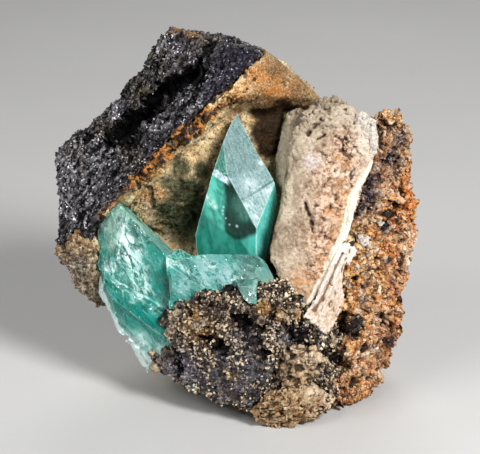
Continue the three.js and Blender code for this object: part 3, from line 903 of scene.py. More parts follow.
# Rust by a broad noise and by each knob's own number, then the spots, light and dark specks, painted shade in
# pits, between the knobs and in the cave, flecks.
def rustyFinish(name):
    f = Finish(name, rustyBlock["tints"])
    broad = f.noise(2.6, 3, 0.6)
    small = f.noise(0.8, 3, 0.68)
    mark = f["mark"]
    own = f.add("ShaderNodeValToRGB", {"stops": rustyBlock["ownStops"]}, {"Fac": mark}, "Color")
    rust = f.mix(f.ramp(broad, 0.38, 0.62), *f.tints["rust"])
    rust = f.over(rust, "side", f.ramp(f.noise(9, 2, 0.5), 0.42, 0.58), 0.8)
    rust = f.over(rust, "orange", f.ramp(f.noise(1.5, 3), 0.3, 0.55))
    rust = f.over(rust, "gold", f.ramp(broad, 0.3, 0.52), 0.9)
    rust = f.over(rust, "tan", 0.85)
    rust = f.over(rust, "pink", f.ramp(broad, 0.3, 0.55), 0.75)
    rust = f.mix(0.55 - f["tan"] * 0.3, rust, own)
    rust = f.over(rust, "violet", f.ramp(f.noise(1.6, 2), 0.26, 0.42), 0.96, by=(small, 0.42, 0.62))
    rust = f.over(rust, "cream", f.ramp(f.noise(1.2, 2), 0.4, 0.55), 0.95)
    rust = f.lay(rust, "stain", f.ramp(f.noise(2.2, 3) + f["pink"] * 0.05, 0.55, 0.63) * 0.82)
    rust = f.lay(rust, "speck", f.ramp(small, 0.55, 0.68) * 0.75 * (1 - f["violet"] * 0.8))
    rust = f.mix(f.ramp(small, 0.38, 0.48), f.mix(0.85, rust, f.tints["grain"]), rust)
    # black glossy nodules, and the cave, whose black is painted shade
    rust = f.over(rust, "dark", 0.97)
    # painted shade in pits, between the knobs and in the cave
    rust = f.lay(rust, "pit", f.ramp(f["pit"], 0.45, 0.95) * 0.93)
    fleck = f.ramp(f.cellMark(0.34), 0.9, 0.97) * 0.5 * (1 - f.ramp(f["pit"], 0.3, 0.7))
    colour = f.mix(fleck, rust, f.tints["fleck"])
    rough = 0.5 - f["dark"] * 0.35
    return f.stone(colour, rough, rustyBlock["grit"], Metallic=fleck)


# The druse rock at the front.
frontRock = {
    "faceSize": 0.3,
    "bare": [(0.5, -21.5, 10.5, 6), (5, -21.5, 12.5, 5), (-5, -19.5, 12, 3.6), (3, -21, 17, 2.8),
             (-2, -20.5, 8, 4.6), (4, -21.5, 8, 4.6), (-7, -18.5, 9.5, 3.6)],
    "gold": [(-8.5, -19, 23, 2.6), (-9.5, -18.5, 26, 1.6), (-1.4, -21, 12.5, 1), (9.6, -18.9, 26.1, 1.2),
             (13.5, -18.5, 26.5, 1.3), (6, -19, 28, 1.5)],
    "hollow": [(0.2, -20, 25.5, 2.4), (-3.5, -20, 21, 1.6)],
    "crust": [(-14, -15.6, 23.5, 3.4), (-13, -16.5, 27, 2.5), (-15.5, -14.5, 20, 2), (-18.2, -12, 14.5, 3)],
    "lilac": [(-11, -16.8, 11.8, 4), (-15, -14, 11, 2.5)],
    "pink": [(-18.3, -11.5, 10.3, 2)],
    "dim": [(-13.5, -15.8, 9.5, 3.2), (-17, -13.5, 12.5, 2.4), (-4, -19, 27.5, 3), (1, -20, 26, 2.6),
            (-14, -15.5, 11, 3.5), (8, -19.5, 27, 2.6), (-16, -14, 15, 2)],
    "teal": [(-10.8, -15.5, 7.3, 1.8), (-8, -16.5, 6.7, 1.5)],
    "violet": [(2, -20, 21, 3.5), (-2, -20, 17.5, 3), (12, -19, 21, 3), (-12, -17, 15.5, 2.5)],
    "grit": dict(size=0.3, layers=3, depth=0.13, strength=0.8, facet=0.42, lean=0.7, gloss=0.12),
    "tints": {
        "matrix": ((0.015, 0.01, 0.009), (0.055, 0.042, 0.036)),
        "violet": ((0.016, 0.014, 0.026), (0.16, 0.15, 0.21)), "speck": (0.36, 0.3, 0.23),
        "grain": (0.006, 0.004, 0.004), "bare": ((0.022, 0.022, 0.032), (0.08, 0.079, 0.1)),
        "dim": (0.014, 0.009, 0.009), "hollow": (0.04, 0.012, 0.008), "gold": (0.42, 0.2, 0.045),
        "crust": (0.4, 0.355, 0.275), "lilac": (0.22, 0.2, 0.24), "pink": (0.55, 0.4, 0.34),
        "teal": (0.05, 0.2, 0.17), "pit": (0.004, 0.003, 0.003), "fleck": (0.52, 0.47, 0.42),
    },
    "ownStops": [  # colours of the small facets, by each one's own number
        (0.0, (0.01, 0.007, 0.008)), (0.35, (0.04, 0.028, 0.026)), (0.6, (0.15, 0.105, 0.07)),
        (0.8, (0.42, 0.33, 0.22)), (1.0, (0.72, 0.62, 0.47))],
}


# Out by waves, facets and crumples; then small knobs with sunken borders, pits where a noise is high, and
# hollows, all less where it is bare; the crust is wrinkled, high where a noise is near 0.
def sculptFront():
    look = frontRock
    p, faces = rockSkin("front_rock", look["faceSize"], 3)
    n = normalsOf(p, faces)
    bare = around(p, look["bare"])
    busy = 1 - 0.65 * bare
    height = 0.8 * crumple(p, 8, 2, 41) + (0.75 * facets(p, 3.4, 42) + 0.5 * crumple(p, 2.6, 2, 40)) * busy
    p = p + n * height[:, None]
    n = normalsOf(p, faces)
    drift = np.stack([crumple(p, 2.5, 2, 141 + k) for k in range(3)], axis=1)
    near, second, mark, _ = seeds(p + 0.4 * drift, 1.0, 43)
    border = 1 - rise(second - near, 0.02, 0.3)
    small = 0.28 * facets(p, 0.7, 46, 1.4) + 0.5 * (1 - near**2) * (0.3 + 0.7 * np.sin(mark * 47) ** 2)
    pit = rise(crumple(p, 2.6, 2, 44), 0.0, 0.3) * (1 - 0.85 * bare)
    hollow = around(p, look["hollow"])
    crust = around(p, look["crust"])
    wrinkle = np.abs(crumple(p, 1.6, 3, 47))
    busy = 1 - 0.85 * bare
    height = busy * (small - 0.2 * border) * (1 - 0.6 * crust) - 1.7 * pit * (1 - crust) - 1.8 * hollow
    height = height + crust * (0.9 - 1.6 * wrinkle) + bare * 0.12 * crumple(p, 1.2, 2, 45)
    p = p + n * height[:, None]
    deep = (0.9 * pit + 0.7 * border * busy) * (1 - crust) + hollow * 0.6
    fields = {
        "pit": np.clip(deep + crust * (wrinkle * 2.4 - 0.4), 0, 1),
        "mark": mark,
        "bare": bare,
        "hollow": hollow,
        "crust": crust,
        **spotted(p, look, "gold", "dim", "lilac", "pink", "teal", "violet"),
    }
    return p, faces, fields


# Dark brown by a broad noise and by each knob's own number, then the spots with painted shade in the hollows,
# specks, painted shade in pits and between the knobs, flecks.
def frontFinish(name):
    f = Finish(name, frontRock["tints"])
    broad = f.noise(2.4, 3, 0.6)
    small = f.noise(0.8, 3, 0.68)
    base = f.mix(f.ramp(broad, 0.36, 0.64), *f.tints["matrix"])
    own = f.add("ShaderNodeValToRGB", {"stops": frontRock["ownStops"]}, {"Fac": f["mark"]}, "Color")
    base = f.mix(0.75, base, own)
    base = f.mix(f["violet"] * 0.8, base, f.mix(f["mark"], *f.tints["violet"]))
    base = f.lay(base, "speck", f.ramp(small, 0.54, 0.68) * 0.6)
    base = f.mix(f.ramp(small, 0.4, 0.5), f.tints["grain"], base)
    base = f.over(base, "bare", 0.85, by=(small, 0.35, 0.65))
    base = f.over(base, "dim", 0.55)
    # painted shade in the hollows
    base = f.over(base, "hollow", 0.85)
    base = f.over(base, "gold", f.ramp(small, 0.35, 0.55))
    base = f.over(base, "crust", 0.85)
    base = f.over(base, "lilac", f.ramp(broad, 0.3, 0.55), 0.7)
    base = f.over(base, "pink", 0.85)
    base = f.over(base, "teal", 0.85)
    # painted shade in pits and between the knobs
    base = f.lay(base, "pit", f.ramp(f["pit"], 0.45, 0.95) * 0.92)
    fleck = f.ramp(f.cellMark(0.32), 0.86, 0.95) * 0.5 * (1 - f.ramp(f["pit"], 0.4, 0.8))
    colour = f.mix(fleck, base, f.tints["fleck"])
    rough = 0.45 - fleck * 0.2
    return f.stone(colour, rough, frontRock["grit"], Metallic=fleck)


# The pale slab with its white rind.
paleSlab = {
    "faceSize": 0.28,
    "rind": [(30.1, -6.2, 56.8), (26.9, -8.3, 52.7), (25.6, -9.4, 49.5), (25.2, -10.6, 46.5),
             (24, -11.8, 42.2), (21.8, -13, 39.2), (19.6, -14.7, 33.8), (16.2, -16, 27.5)],
    "rindWidth": 0.6,
    "slots": [  # worn holes: from, to, half width
        ((17.4, -1.6, 64.5), (18.6, -1.4, 66.2), 0.42), ((15.9, -2.1, 62.6), (16.5, -1.9, 63.7), 0.3),
        ((18.2, -2.8, 61.9), (19.6, -2.7, 62.8), 0.26), ((18.6, -4.2, 59.3), (19.4, -3.9, 60.7), 0.26),
        ((12.2, 1.2, 57.4), (12.8, 1.4, 59.2), 0.45), ((24.8, -5.6, 60), (25.4, -5.2, 61), 0.25),
        ((15, -9.5, 49), (16, -10.2, 46.6), 0.34), ((16, -10.2, 46.6), (16.7, -10.9, 44.6), 0.42),
        ((16.7, -10.9, 44.6), (16.9, -11.3, 42.6), 0.26), ((14.9, 0.4, 65.2), (15.1, 0.2, 66.1), 0.2),
        ((21.6, 0.2, 69.4), (22.6, 0.1, 70), 0.3), ((16.9, -5.4, 55), (17, -5.6, 54.3), 0.16),
        ((19.4, -7.6, 52.5), (19.9, -7.6, 53.3), 0.24), ((21.9, -8.4, 50.6), (22.6, -8.2, 51.3), 0.22)],
    "crease": [(16.2, 0.6, 67.5), (15.2, 0.3, 65), (14.2, -0.5, 61.5), (13.2, -1.4, 58), (12.6, -2.6, 54)],
    "rough": [(23, -7, 55, 6.5), (22, -9, 48, 6), (20, -11.5, 41, 5.5), (24, -4, 60, 4.5),
              (18.5, -13, 34, 4.5)],
    "lilac": [(16.9, -4.5, 57, 1.8)],
    "orange": [(22.5, -5.3, 58.3, 0.9), (14.5, -14, 32, 2.8), (17.5, -14.8, 31.5, 2.6),
               (22.2, -11.6, 42, 2.4), (20.2, -13.2, 36.5, 2.6), (20.5, -10, 47, 1.6),
               (24.2, -8.4, 50.5, 2.2), (24.5, -5.2, 57.5, 1.8), (23.2, -10, 45.8, 2),
               (22.8, -7.4, 53.4, 1.4)],
    "white": [(29.5, -2, 64, 3.4), (28.5, -3, 60.5, 3.2), (31, -3.8, 58, 2), (22.5, -7, 55.3, 1.1),
              (27, -7, 55, 1.5)],
    "crown": [(20, 0, 69, 6), (25, 0, 68.5, 5), (15, 1, 67, 4)],
    # painted shade, olive green, in the hollow at the left of the slab
    "green": [(11.2, -4, 54, 1.4), (10.6, -6, 50, 1.4), (12.1, 1, 58, 1.2)],
    "shade": [(13.4, -1.5, 59.5, 1.6), (13.2, -2.8, 56.5, 1.8), (12.7, -4.3, 53.5, 1.8), (13.6, 0, 62, 1.4),
              (13.8, -5.2, 53.5, 1.6), (14, -3.6, 56.5, 1.5)],
    "grit": dict(size=0.3, layers=4, depth=0.12, strength=0.8, facet=0.5, lean=0.2, gloss=0.12),
    "tints": {
        "matrix": ((0.265, 0.205, 0.138), (0.47, 0.385, 0.285)),
        "rough": ((0.36, 0.185, 0.095), (0.8, 0.585, 0.44)),
        "crown": ((0.26, 0.205, 0.14), (0.5, 0.42, 0.33)),
        "lobe": ((0.5, 0.43, 0.3), (0.7, 0.61, 0.46)), "shade": (0.135, 0.105, 0.055),
        "green": (0.085, 0.075, 0.036), "orange": (0.52, 0.24, 0.08), "lilac": (0.66, 0.6, 0.62),
        "white": (0.72, 0.63, 0.53), "rind": (0.86, 0.77, 0.63), "speck": (0.8, 0.7, 0.57),
        "grain": (0.11, 0.055, 0.026), "dots": (0.2, 0.13, 0.1), "pit": (0.055, 0.028, 0.012),
    },
}


# Rounded by averaging at the crease and the left edge. Out by waves, facets and crumples, more on rough
# places, in along chipped edges; then small facets, and in by worn slots; the rind along the right edge
# stays even.
def sculptSlab():
    look = paleSlab
    filling = rib(look["crease"], 2.3, 56, 60, 24)
    thread = rib(look["rind"], look["rindWidth"], 157, 160, 16)
    p, faces = rockSkin("pale_slab", look["faceSize"], 3, [filling, thread])
    crease, _ = fromLine(p, look["crease"])
    lobe = rise(15.5 - p[:, 0], 0, 3) * rise(p[:, 2], 42, 48)
    p = p + (relaxed(p, faces, 160) - p) * np.maximum(rise(5.0 - crease, 0, 3.0), lobe)[:, None]
    edge = fromEdges(p, sharpEdges("pale_slab", 18))
    n = normalsOf(p, faces)
    rough = around(p, look["rough"])
    crown = around(p, look["crown"])
    busy = np.clip(rough + crown, 0, 1)
    height = 0.55 * crumple(p, 8, 2, 51) + (0.1 + 0.55 * busy) * facets(p, 3.4, 52)
    height = height + (0.14 + 0.25 * busy) * crumple(p, 2.2, 3, 57)
    rind, _ = fromLine(p, look["rind"])
    chips = 0.75 * bell(edge, 1.0) * rise(crumple(p, 3.5, 3, 58), -0.2, 0.5)
    height = (height - chips) * rise(rind, 0.6, 1.8)
    p = p + n * height[:, None]
    n = normalsOf(p, faces)
    pit = np.zeros(len(p))
    for start, end, width in look["slots"]:
        away, _ = fromLine(p, [start, end])
        pit = np.maximum(pit, np.exp(-((away + 0.12 * crumple(p, 0.8, 2, 50)) / width) ** 2 / 1.6))
    slots = rise(crumple(p * np.array([1, 1, 0.55]), 1.7, 2, 53), 0.34, 0.55) * busy
    rind, along = fromLine(p, look["rind"])
    half = 0.95 + 0.5 * rise(along, 0.12, 0.35) * rise(1 - along, 0.25, 0.5)
    rind = rise(half - rind - 0.2 * crumple(p, 1.5, 2, 59), 0, 0.3)
    shard = facets(p, 1.3, 54, 1.5)
    tiny = facets(p, 0.7, 55, 1.5)
    height = busy * (0.4 * shard + 0.26 * tiny - 0.85 * slots) + (1 - busy) * (0.09 * tiny + 0.07 * shard)
    height = height * (1 - 0.8 * rind) - 1.3 * pit
    p = p + n * height[:, None]
    worn = 0.9 * slots + busy * (0.1 - 0.6 * shard - 0.4 * tiny)
    fields = {
        "pit": np.clip(1.3 * pit + worn * (1 - rind), 0, 1),
        "rind": rind,
        "rough": rough,
        "crown": crown,
        "lobe": rise(13.2 - p[:, 0], 0, 1.5) * rise(p[:, 2], 44, 48),
        **spotted(p, look, "lilac", "orange", "white", "green", "shade"),
    }
    return p, faces, fields


# Beige by a broad noise, rosy on rough places, then the spots with painted shade in the green places, the
# rind, light and dark specks, painted shade in holes and slots.
def slabFinish(name):
    f = Finish(name, paleSlab["tints"])
    broad = f.noise(4.5, 3, 0.55)
    small = f.noise(0.65, 4, 0.7)
    base = f.mix(f.ramp(broad, 0.36, 0.64), *f.tints["matrix"])
    rosy = f.mix(f.ramp(f.noise(1.3, 4, 0.65), 0.4, 0.6), *f.tints["rough"])
    base = f.mix(f["rough"] * 0.95, base, rosy)
    base = f.over(base, "crown", 0.7, by=(broad, 0.4, 0.6))
    base = f.over(base, "lobe", 0.85, by=(broad, 0.36, 0.64))
    base = f.over(base, "shade", 0.6)
    # painted shade, olive green, in the hollow at the left
    base = f.over(base, "green", 0.8)
    base = f.over(base, "orange", f.ramp(f.noise(1.1, 3), 0.32, 0.56), 0.85)
    base = f.over(base, "lilac", 0.8)
    base = f.over(base, "white", 0.9)
    base = f.over(base, "rind")
    base = f.lay(base, "speck", f.ramp(small, 0.54, 0.7) * 0.5)
    base = f.mix(f.ramp(small, 0.34, 0.46), f.mix(0.6, base, f.tints["grain"]), base)
    dots = f.ramp(f.cellMark(0.3), 0.9, 0.96) * 0.4
    base = f.lay(base, "dots", dots)
    # painted shade in slots and worn pits
    base = f.lay(base, "pit", f.ramp(f["pit"], 0.35, 0.9) * 0.9)
    return f.stone(base, 0.68, paleSlab["grit"])


# The white flake, a fan of fibres that spreads down over the druse.
whiteFlake = {
    "faceSize": 0.22,
    "left": [(22.4, -13, 40.3), (21, -14.5, 36.8), (19.6, -15.6, 33.4), (18.2, -16.6, 30.2),
             (16.7, -17.4, 27.4), (15.2, -18, 25.2)],
    "right": [(25.4, -10.9, 38.6), (24, -11.9, 35.5), (23.6, -12.2, 31.5), (23.4, -12.6, 27),
              (22.5, -13.6, 24), (19.9, -16.2, 20.2)],
    "thick": 0.8,
    "ribs": [  # path, half width in the middle
        ([(23.6, -12.7, 41), (21.4, -14.5, 37.2), (19.6, -16, 33), (18, -17.1, 29.8), (16.3, -17.9, 27.2),
          (14.8, -18.3, 25.2)], 0.52),
        ([(23.4, -13, 37.6), (22.2, -14.6, 34), (20.6, -16.2, 30.4), (18.8, -17.2, 27.6),
          (16.8, -18.2, 25.2)], 0.36),
        ([(23.6, -12.4, 30.4), (23.7, -12.8, 27.4), (22.8, -13.8, 24.3), (20.8, -15.6, 21.6),
          (19.9, -16.5, 19.6)], 0.34),
        ([(22.2, -13.6, 36), (21.2, -15, 32), (20.3, -16, 28.6), (19.4, -16.8, 25.2)], 0.26),
    ],
    "groove": [(23.6, -12.9, 38.6), (22, -14.4, 35.6), (20.4, -15.7, 32.2), (18.9, -16.8, 29),
               (17.2, -17.8, 26.8)],
    "lobes": [(23.6, -12.5, 39.4, 1.1, 0.9, 1.5), (25.5, -11, 38.2, 1.3, 0.9, 1.4),
              (24.9, -11.4, 36.6, 0.9, 0.8, 1.3), (24.8, -11.5, 39.6, 1, 0.8, 0.8)],
    "grit": dict(size=0.28, layers=3, depth=0.12, strength=0.8, facet=0.4, lean=0.3, gloss=0.2),
    "tints": {
        "fibres": ((0.56, 0.42, 0.32), (0.84, 0.73, 0.63)), "low": (0.5, 0.29, 0.14),
        "top": (0.84, 0.78, 0.72), "speck": (0.92, 0.86, 0.76), "pit": (0.15, 0.08, 0.036),
    },
}


# A sheet, ribs and lumps fused into one; out by facets and a crumple drawn out downwards, in by pits and by
# a groove.
def sculptFlake():
    look = whiteFlake
    parts = [sheet(look["left"], look["right"], look["thick"])]
    parts += [rib(path, width, 63 + k) for k, (path, width) in enumerate(look["ribs"])]
    parts += [lump(*lobe, 70 + k) for k, lobe in enumerate(look["lobes"])]
    p, faces = fused(bpy.data.meshes.new("flake"), parts, look["faceSize"], 2)
    n = normalsOf(p, faces)
    grain = p * np.array([1.4, 1, 0.6])
    height = 0.16 * facets(p, 1.6, 61) + 0.1 * facets(p, 0.7, 62, 1.4) + 0.2 * crumple(grain, 1.8, 3, 66)
    pit = rise(crumple(grain, 1.1, 2, 67), 0.36, 0.6)
    groove, _ = fromLine(p, look["groove"], flat=True)
    groove = bell(groove + 0.1 * crumple(p, 1.5, 2, 68), 0.26) * rise(-n[:, 1], 0, 0.3)
    p = p + n * (height - 0.3 * pit - 0.55 * groove)[:, None]
    fields = {
        "pit": np.clip(pit + 0.3 - height * 1.5 + 1.4 * groove, 0, 1),
        "top": rise(p[:, 2], 35.5, 38),
        "low": np.clip(around(p, [(21, -15, 25.5, 3.2), (18, -16.8, 26, 1.5)]), 0, 1),
    }
    return p, faces, fields


# Cream by a noise drawn out downwards, browner low down, whiter at the top, with painted shade in pits and
# the groove.
def flakeFinish(name):
    f = Finish(name, whiteFlake["tints"])
    small = f.noise(0.7, 4, 0.7, (0.8, 1, 2.0, 0, 28, 0))
    base = f.mix(f.ramp(small, 0.35, 0.62), *f.tints["fibres"])
    base = f.over(base, "low", f.ramp(f.noise(1.2, 3), 0.35, 0.6), 0.8)
    base = f.over(base, "top", 0.8)
    base = f.lay(base, "speck", f.ramp(f.noise(0.5, 3), 0.56, 0.74) * 0.6)
    # painted shade in pits, low places and the groove
    base = f.lay(base, "pit", f.ramp(f["pit"], 0.4, 1.0) * 0.85)
    return f.stone(base, 0.6, whiteFlake["grit"])


# The buff crust under it.
buffCrust = {
    "faceSize": 0.24,
    "cream": [(16.5, -21.7, 17.5, 4), (17, -20.5, 9, 2.5), (21, -17, 6, 2.5)],
    "hole": [(14.1, -22.7, 14.9, 0.9), (18.2, -21, 14.6, 0.7), (16.5, -22, 19.3, 0.6),
             (12.6, -22.6, 17.6, 0.7), (19.8, -19.6, 17.4, 0.6), (12.2, -22.8, 12.8, 0.6),
             (20.6, -18.6, 13, 0.8), (16.2, -22.4, 12.4, 0.5)],
    "band": [(12.5, -22, 9.3), (17, -20.8, 9), (21, -17.5, 7)],
    "edge": [(4, -23.5, 2.2), (9, -24, 0.8), (15, -23, 1), (21, -18.5, 3.2)],
    "stain": [(10.4, -22.3, 17.2, 1.9), (10.2, -22.6, 14.2, 2), (18.8, -19.8, 12.2, 1.8),
              (20.6, -18.2, 13.6, 2)],
    "grit": dict(size=0.28, layers=3, depth=0.13, strength=0.8, facet=0.45, lean=0.3, gloss=0.12),
    "tints": {
        "buff": ((0.25, 0.135, 0.055), (0.44, 0.3, 0.165)), "cream": (0.8, 0.65, 0.47),
        "speck": (0.86, 0.73, 0.54), "grain": (0.035, 0.016, 0.006),
        "stain": ((0.014, 0.011, 0.01), (0.24, 0.195, 0.15)), "pit": (0.026, 0.012, 0.005),
    },
}


# Out by waves, facets and crumples; then knobs near the seeds on the upper part, winding grooves where a
# noise is near 0, and round holes.
def sculptBuff():
    look = buffCrust
    p, faces = rockSkin("buff_crust", look["faceSize"], 3)
    n = normalsOf(p, faces)
    height = 0.7 * crumple(p, 5, 2, 71) + 0.5 * facets(p, 2.8, 72) + 0.3 * crumple(p, 1.9, 2, 70)
    p = p + n * height[:, None]
    n = normalsOf(p, faces)
    near, _, mark, _ = seeds(p, 1.7, 73)
    top = rise(p[:, 2], 10, 13)
    worm = np.abs(crumple(p * np.array([0.6, 1, 1.7]), 1.3, 2, 74))
    hole = around(p, look["hole"])
    band, _ = fromLine(p, look["band"])
    band = bell(band, 1.3)
    groove = (1 - rise(worm, 0.03, 0.22)) * (1 - 0.85 * band) * (1 - 0.7 * top)
    knob = rise(0.8 - near, 0, 0.7) * (0.4 + 0.8 * mark)
    small = facets(p, 0.8, 75, 1.5)
    height = top * (1.25 * knob - 0.35 + 0.15 * small) - 0.6 * groove + 0.1 * small * (1 - band) - 1.3 * hole
    p = p + n * height[:, None]
    p[:, 2] = np.maximum(p[:, 2], 0.0)
    edge, _ = fromLine(p, look["edge"])
    fields = {
        "pit": np.clip(groove + 1.2 * hole + top * (0.62 - knob), 0, 1),
        "cream": np.clip(around(p, look["cream"]) + 0.8 * bell(edge, 1.0), 0, 1),
        "stain": around(p, look["stain"]),
    }
    return p, faces, fields


# Buff by a noise, then cream and dark stains on the spots, light and dark specks, painted shade in grooves,
# holes and between the knobs.
def buffFinish(name):
    f = Finish(name, buffCrust["tints"])
    small = f.noise(0.85, 3, 0.68)
    base = f.mix(f.ramp(f.noise(2.0, 3), 0.36, 0.64), *f.tints["buff"])
    base = f.over(base, "cream", f.ramp(f.noise(1.5, 3), 0.3, 0.55), 0.9)
    base = f.lay(base, "speck", f.ramp(small, 0.54, 0.68) * 0.65)
    base = f.mix(f.ramp(small, 0.36, 0.48), f.mix(0.8, base, f.tints["grain"]), base)
    base = f.over(base, "stain", 0.88, by=(small, 0.44, 0.6))
    # painted shade in grooves, holes and between the knobs
    base = f.lay(base, "pit", f.ramp(f["pit"], 0.3, 0.8) * 0.92)
    return f.stone(base, 0.65, buffCrust["grit"])


crystalLook = {
    "ior": 1.6,
    "absorbs": (0.03, 0.865, 0.795),  # colour of the clear body
    "density": 190.0,  # per metre
    "skinGloss": 0.22,
}


# A node cut into small triangles: its sharp edges kept, every side longer than edge halved again and again.
def crystalSkin(node, edge):
    build = bmesh.new()
    build.from_mesh(joinedMesh(node))
    bmesh.ops.dissolve_limit(build, angle_limit=math.radians(0.6), verts=build.verts, edges=build.edges)
    bmesh.ops.triangulate(build, faces=build.faces, quad_method="BEAUTY", ngon_method="BEAUTY")
    for _ in range(9):
        long = [e for e in build.edges if e.calc_length() > edge * mm]
        if not long:
            break
        bmesh.ops.subdivide_edges(build, edges=long, cuts=1)
        bmesh.ops.triangulate(build, faces=build.faces, quad_method="BEAUTY", ngon_method="BEAUTY")
    bmesh.ops.dissolve_degenerate(build, dist=0.02 * mm, edges=build.edges)
    bmesh.ops.triangulate(build, faces=build.faces)
    mesh = bpy.data.meshes.new(node + "_cut")
    build.to_mesh(mesh)
    build.free()
    return arraysOf(mesh, 3)


def faceNormals(p, faces):
    flat = np.cross(p[faces[:, 1]] - p[faces[:, 0]], p[faces[:, 2]] - p[faces[:, 0]])
    return flat / np.maximum(np.linalg.norm(flat, axis=1), 1e-12)[:, None]


# A unit direction from a heading in degrees (0 looks at the viewer, 90 to the right) and a tilt upwards.
def facing(heading, tilt):
    h, t = math.radians(heading), math.radians(tilt)
    return np.array([math.sin(h) * math.cos(t), -math.cos(h) * math.cos(t), math.sin(t)])


# 1 on the faces that look along a direction, 0 on those that look elsewhere.
def towards(n, heading, tilt, low=0.93):
    return rise(n @ facing(heading, tilt), low, (1 + low) / 2)


# Clear glass with a tinted body, and over a share of it a skin of the given colour that scatters light.
def crystalShader(f, share, colour, frost):
    grain = f.noise(0.24, 2, 0.7)
    relief = f.bump(f.noise(1.2, 2, 0.5) + grain * (0.1 + frost * 0.5), 0.05, 0.4)
    spark = f.bump(grain * frost + f.noise(1.2, 2, 0.5), 0.06, 0.5, f.glitter(0.3, 0.5, frost))
    glass = f.coat((1, 1, 1), 0.03 + frost * 0.3, relief, IOR=crystalLook["ior"], Transmission_Weight=1.0)
    skin = f.coat(colour, 0.07 + frost * 0.33, spark, Specular_IOR_Level=crystalLook["skinGloss"])
    shader = f.add("ShaderNodeMixShader", {}, {0: share, 1: glass, 2: skin}, "Shader")
    volume = f.add("ShaderNodeVolumeAbsorption", {}, {
        "Color": crystalLook["absorbs"], "Density": crystalLook["density"]}, "Volume")
    return f.surface(shader, volume)


uprightLook = {
    "faceSize": 0.27,
    "widened": 0.75,  # the right side stands out by this much
    "groove": [(0.9, -5, 48.1), (2.6, -4.5, 48.7), (4.4, -3.4, 49.7), (6.2, -2.2, 50.9), (7.6, -1.4, 51.6)],
    "step": [(0.6, -3, 53.8), (2.6, -2, 54.2), (4.6, -1.3, 54.6), (6.2, -0.6, 54.9)],
    "band": ((-5.3, -2.2, 54.1), (-1.8, -3.8, 52.2), 0.95),
    "white": [(5.2, -0.7, 55.4, 0.8), (2.6, -5, 47.2, 0.8), (4.4, -5.4, 44.6, 0.6), (1.3, -1.2, 62.5, 0.7),
              (3, -3.8, 51.5, 1.6), (6.6, -2.6, 49.6, 0.7)],
    "gleam": [(0.9, -4.6, 47, 1.5), (1.9, -4.9, 45, 1.2)],
    "wisp": [(-6.6, -1.8, 47.8, 0.8), (-5.6, -2.2, 46.7, 0.8), (-4.9, -2.6, 45.8, 0.6)],
    "bubbles": [(-2.9, -3.4, 46, 0.2), (-3.1, -3.3, 45.1, 0.2), (-3, -3.3, 44.3, 0.16), (-1.6, -4, 42, 0.18),
                (0.1, -4.6, 41.9, 0.24), (-2.4, -3.6, 43.4, 0.16)],
    "upright": (1, 1, 6, 0, -25, 0),
    "tints": {
        "body": ((0.034, 0.34, 0.255), (0.115, 0.62, 0.49)), "streak": (0.2, 0.66, 0.56),
        "rightLow": (0.085, 0.46, 0.39), "right": ((0.075, 0.48, 0.42), (0.16, 0.64, 0.57)),
        "floor": (0.012, 0.185, 0.14), "wedge": (0.1, 0.58, 0.49),
        "top": ((0.04, 0.16, 0.125), (0.22, 0.44, 0.37)),
        "front": ((0.046, 0.125, 0.12), (0.15, 0.265, 0.265)),
        "lit": ((0.095, 0.195, 0.195), (0.26, 0.39, 0.405)),
        "below": ((0.13, 0.27, 0.265), (0.5, 0.66, 0.67)), "frost": (0.4, 0.62, 0.6),
        "grit": (0.03, 0.105, 0.095), "white": (0.8, 0.92, 0.94), "groove": (0.035, 0.12, 0.11),
        "murk": ((0.0008, 0.004, 0.0025), (0.005, 0.026, 0.016)),
        "gleam": ((0.035, 0.09, 0.075), (0.13, 0.22, 0.195)),
        "band": ((0.26, 0.47, 0.52), (0.78, 0.9, 0.98)), "bright": (0.66, 0.88, 0.86),
    },
}


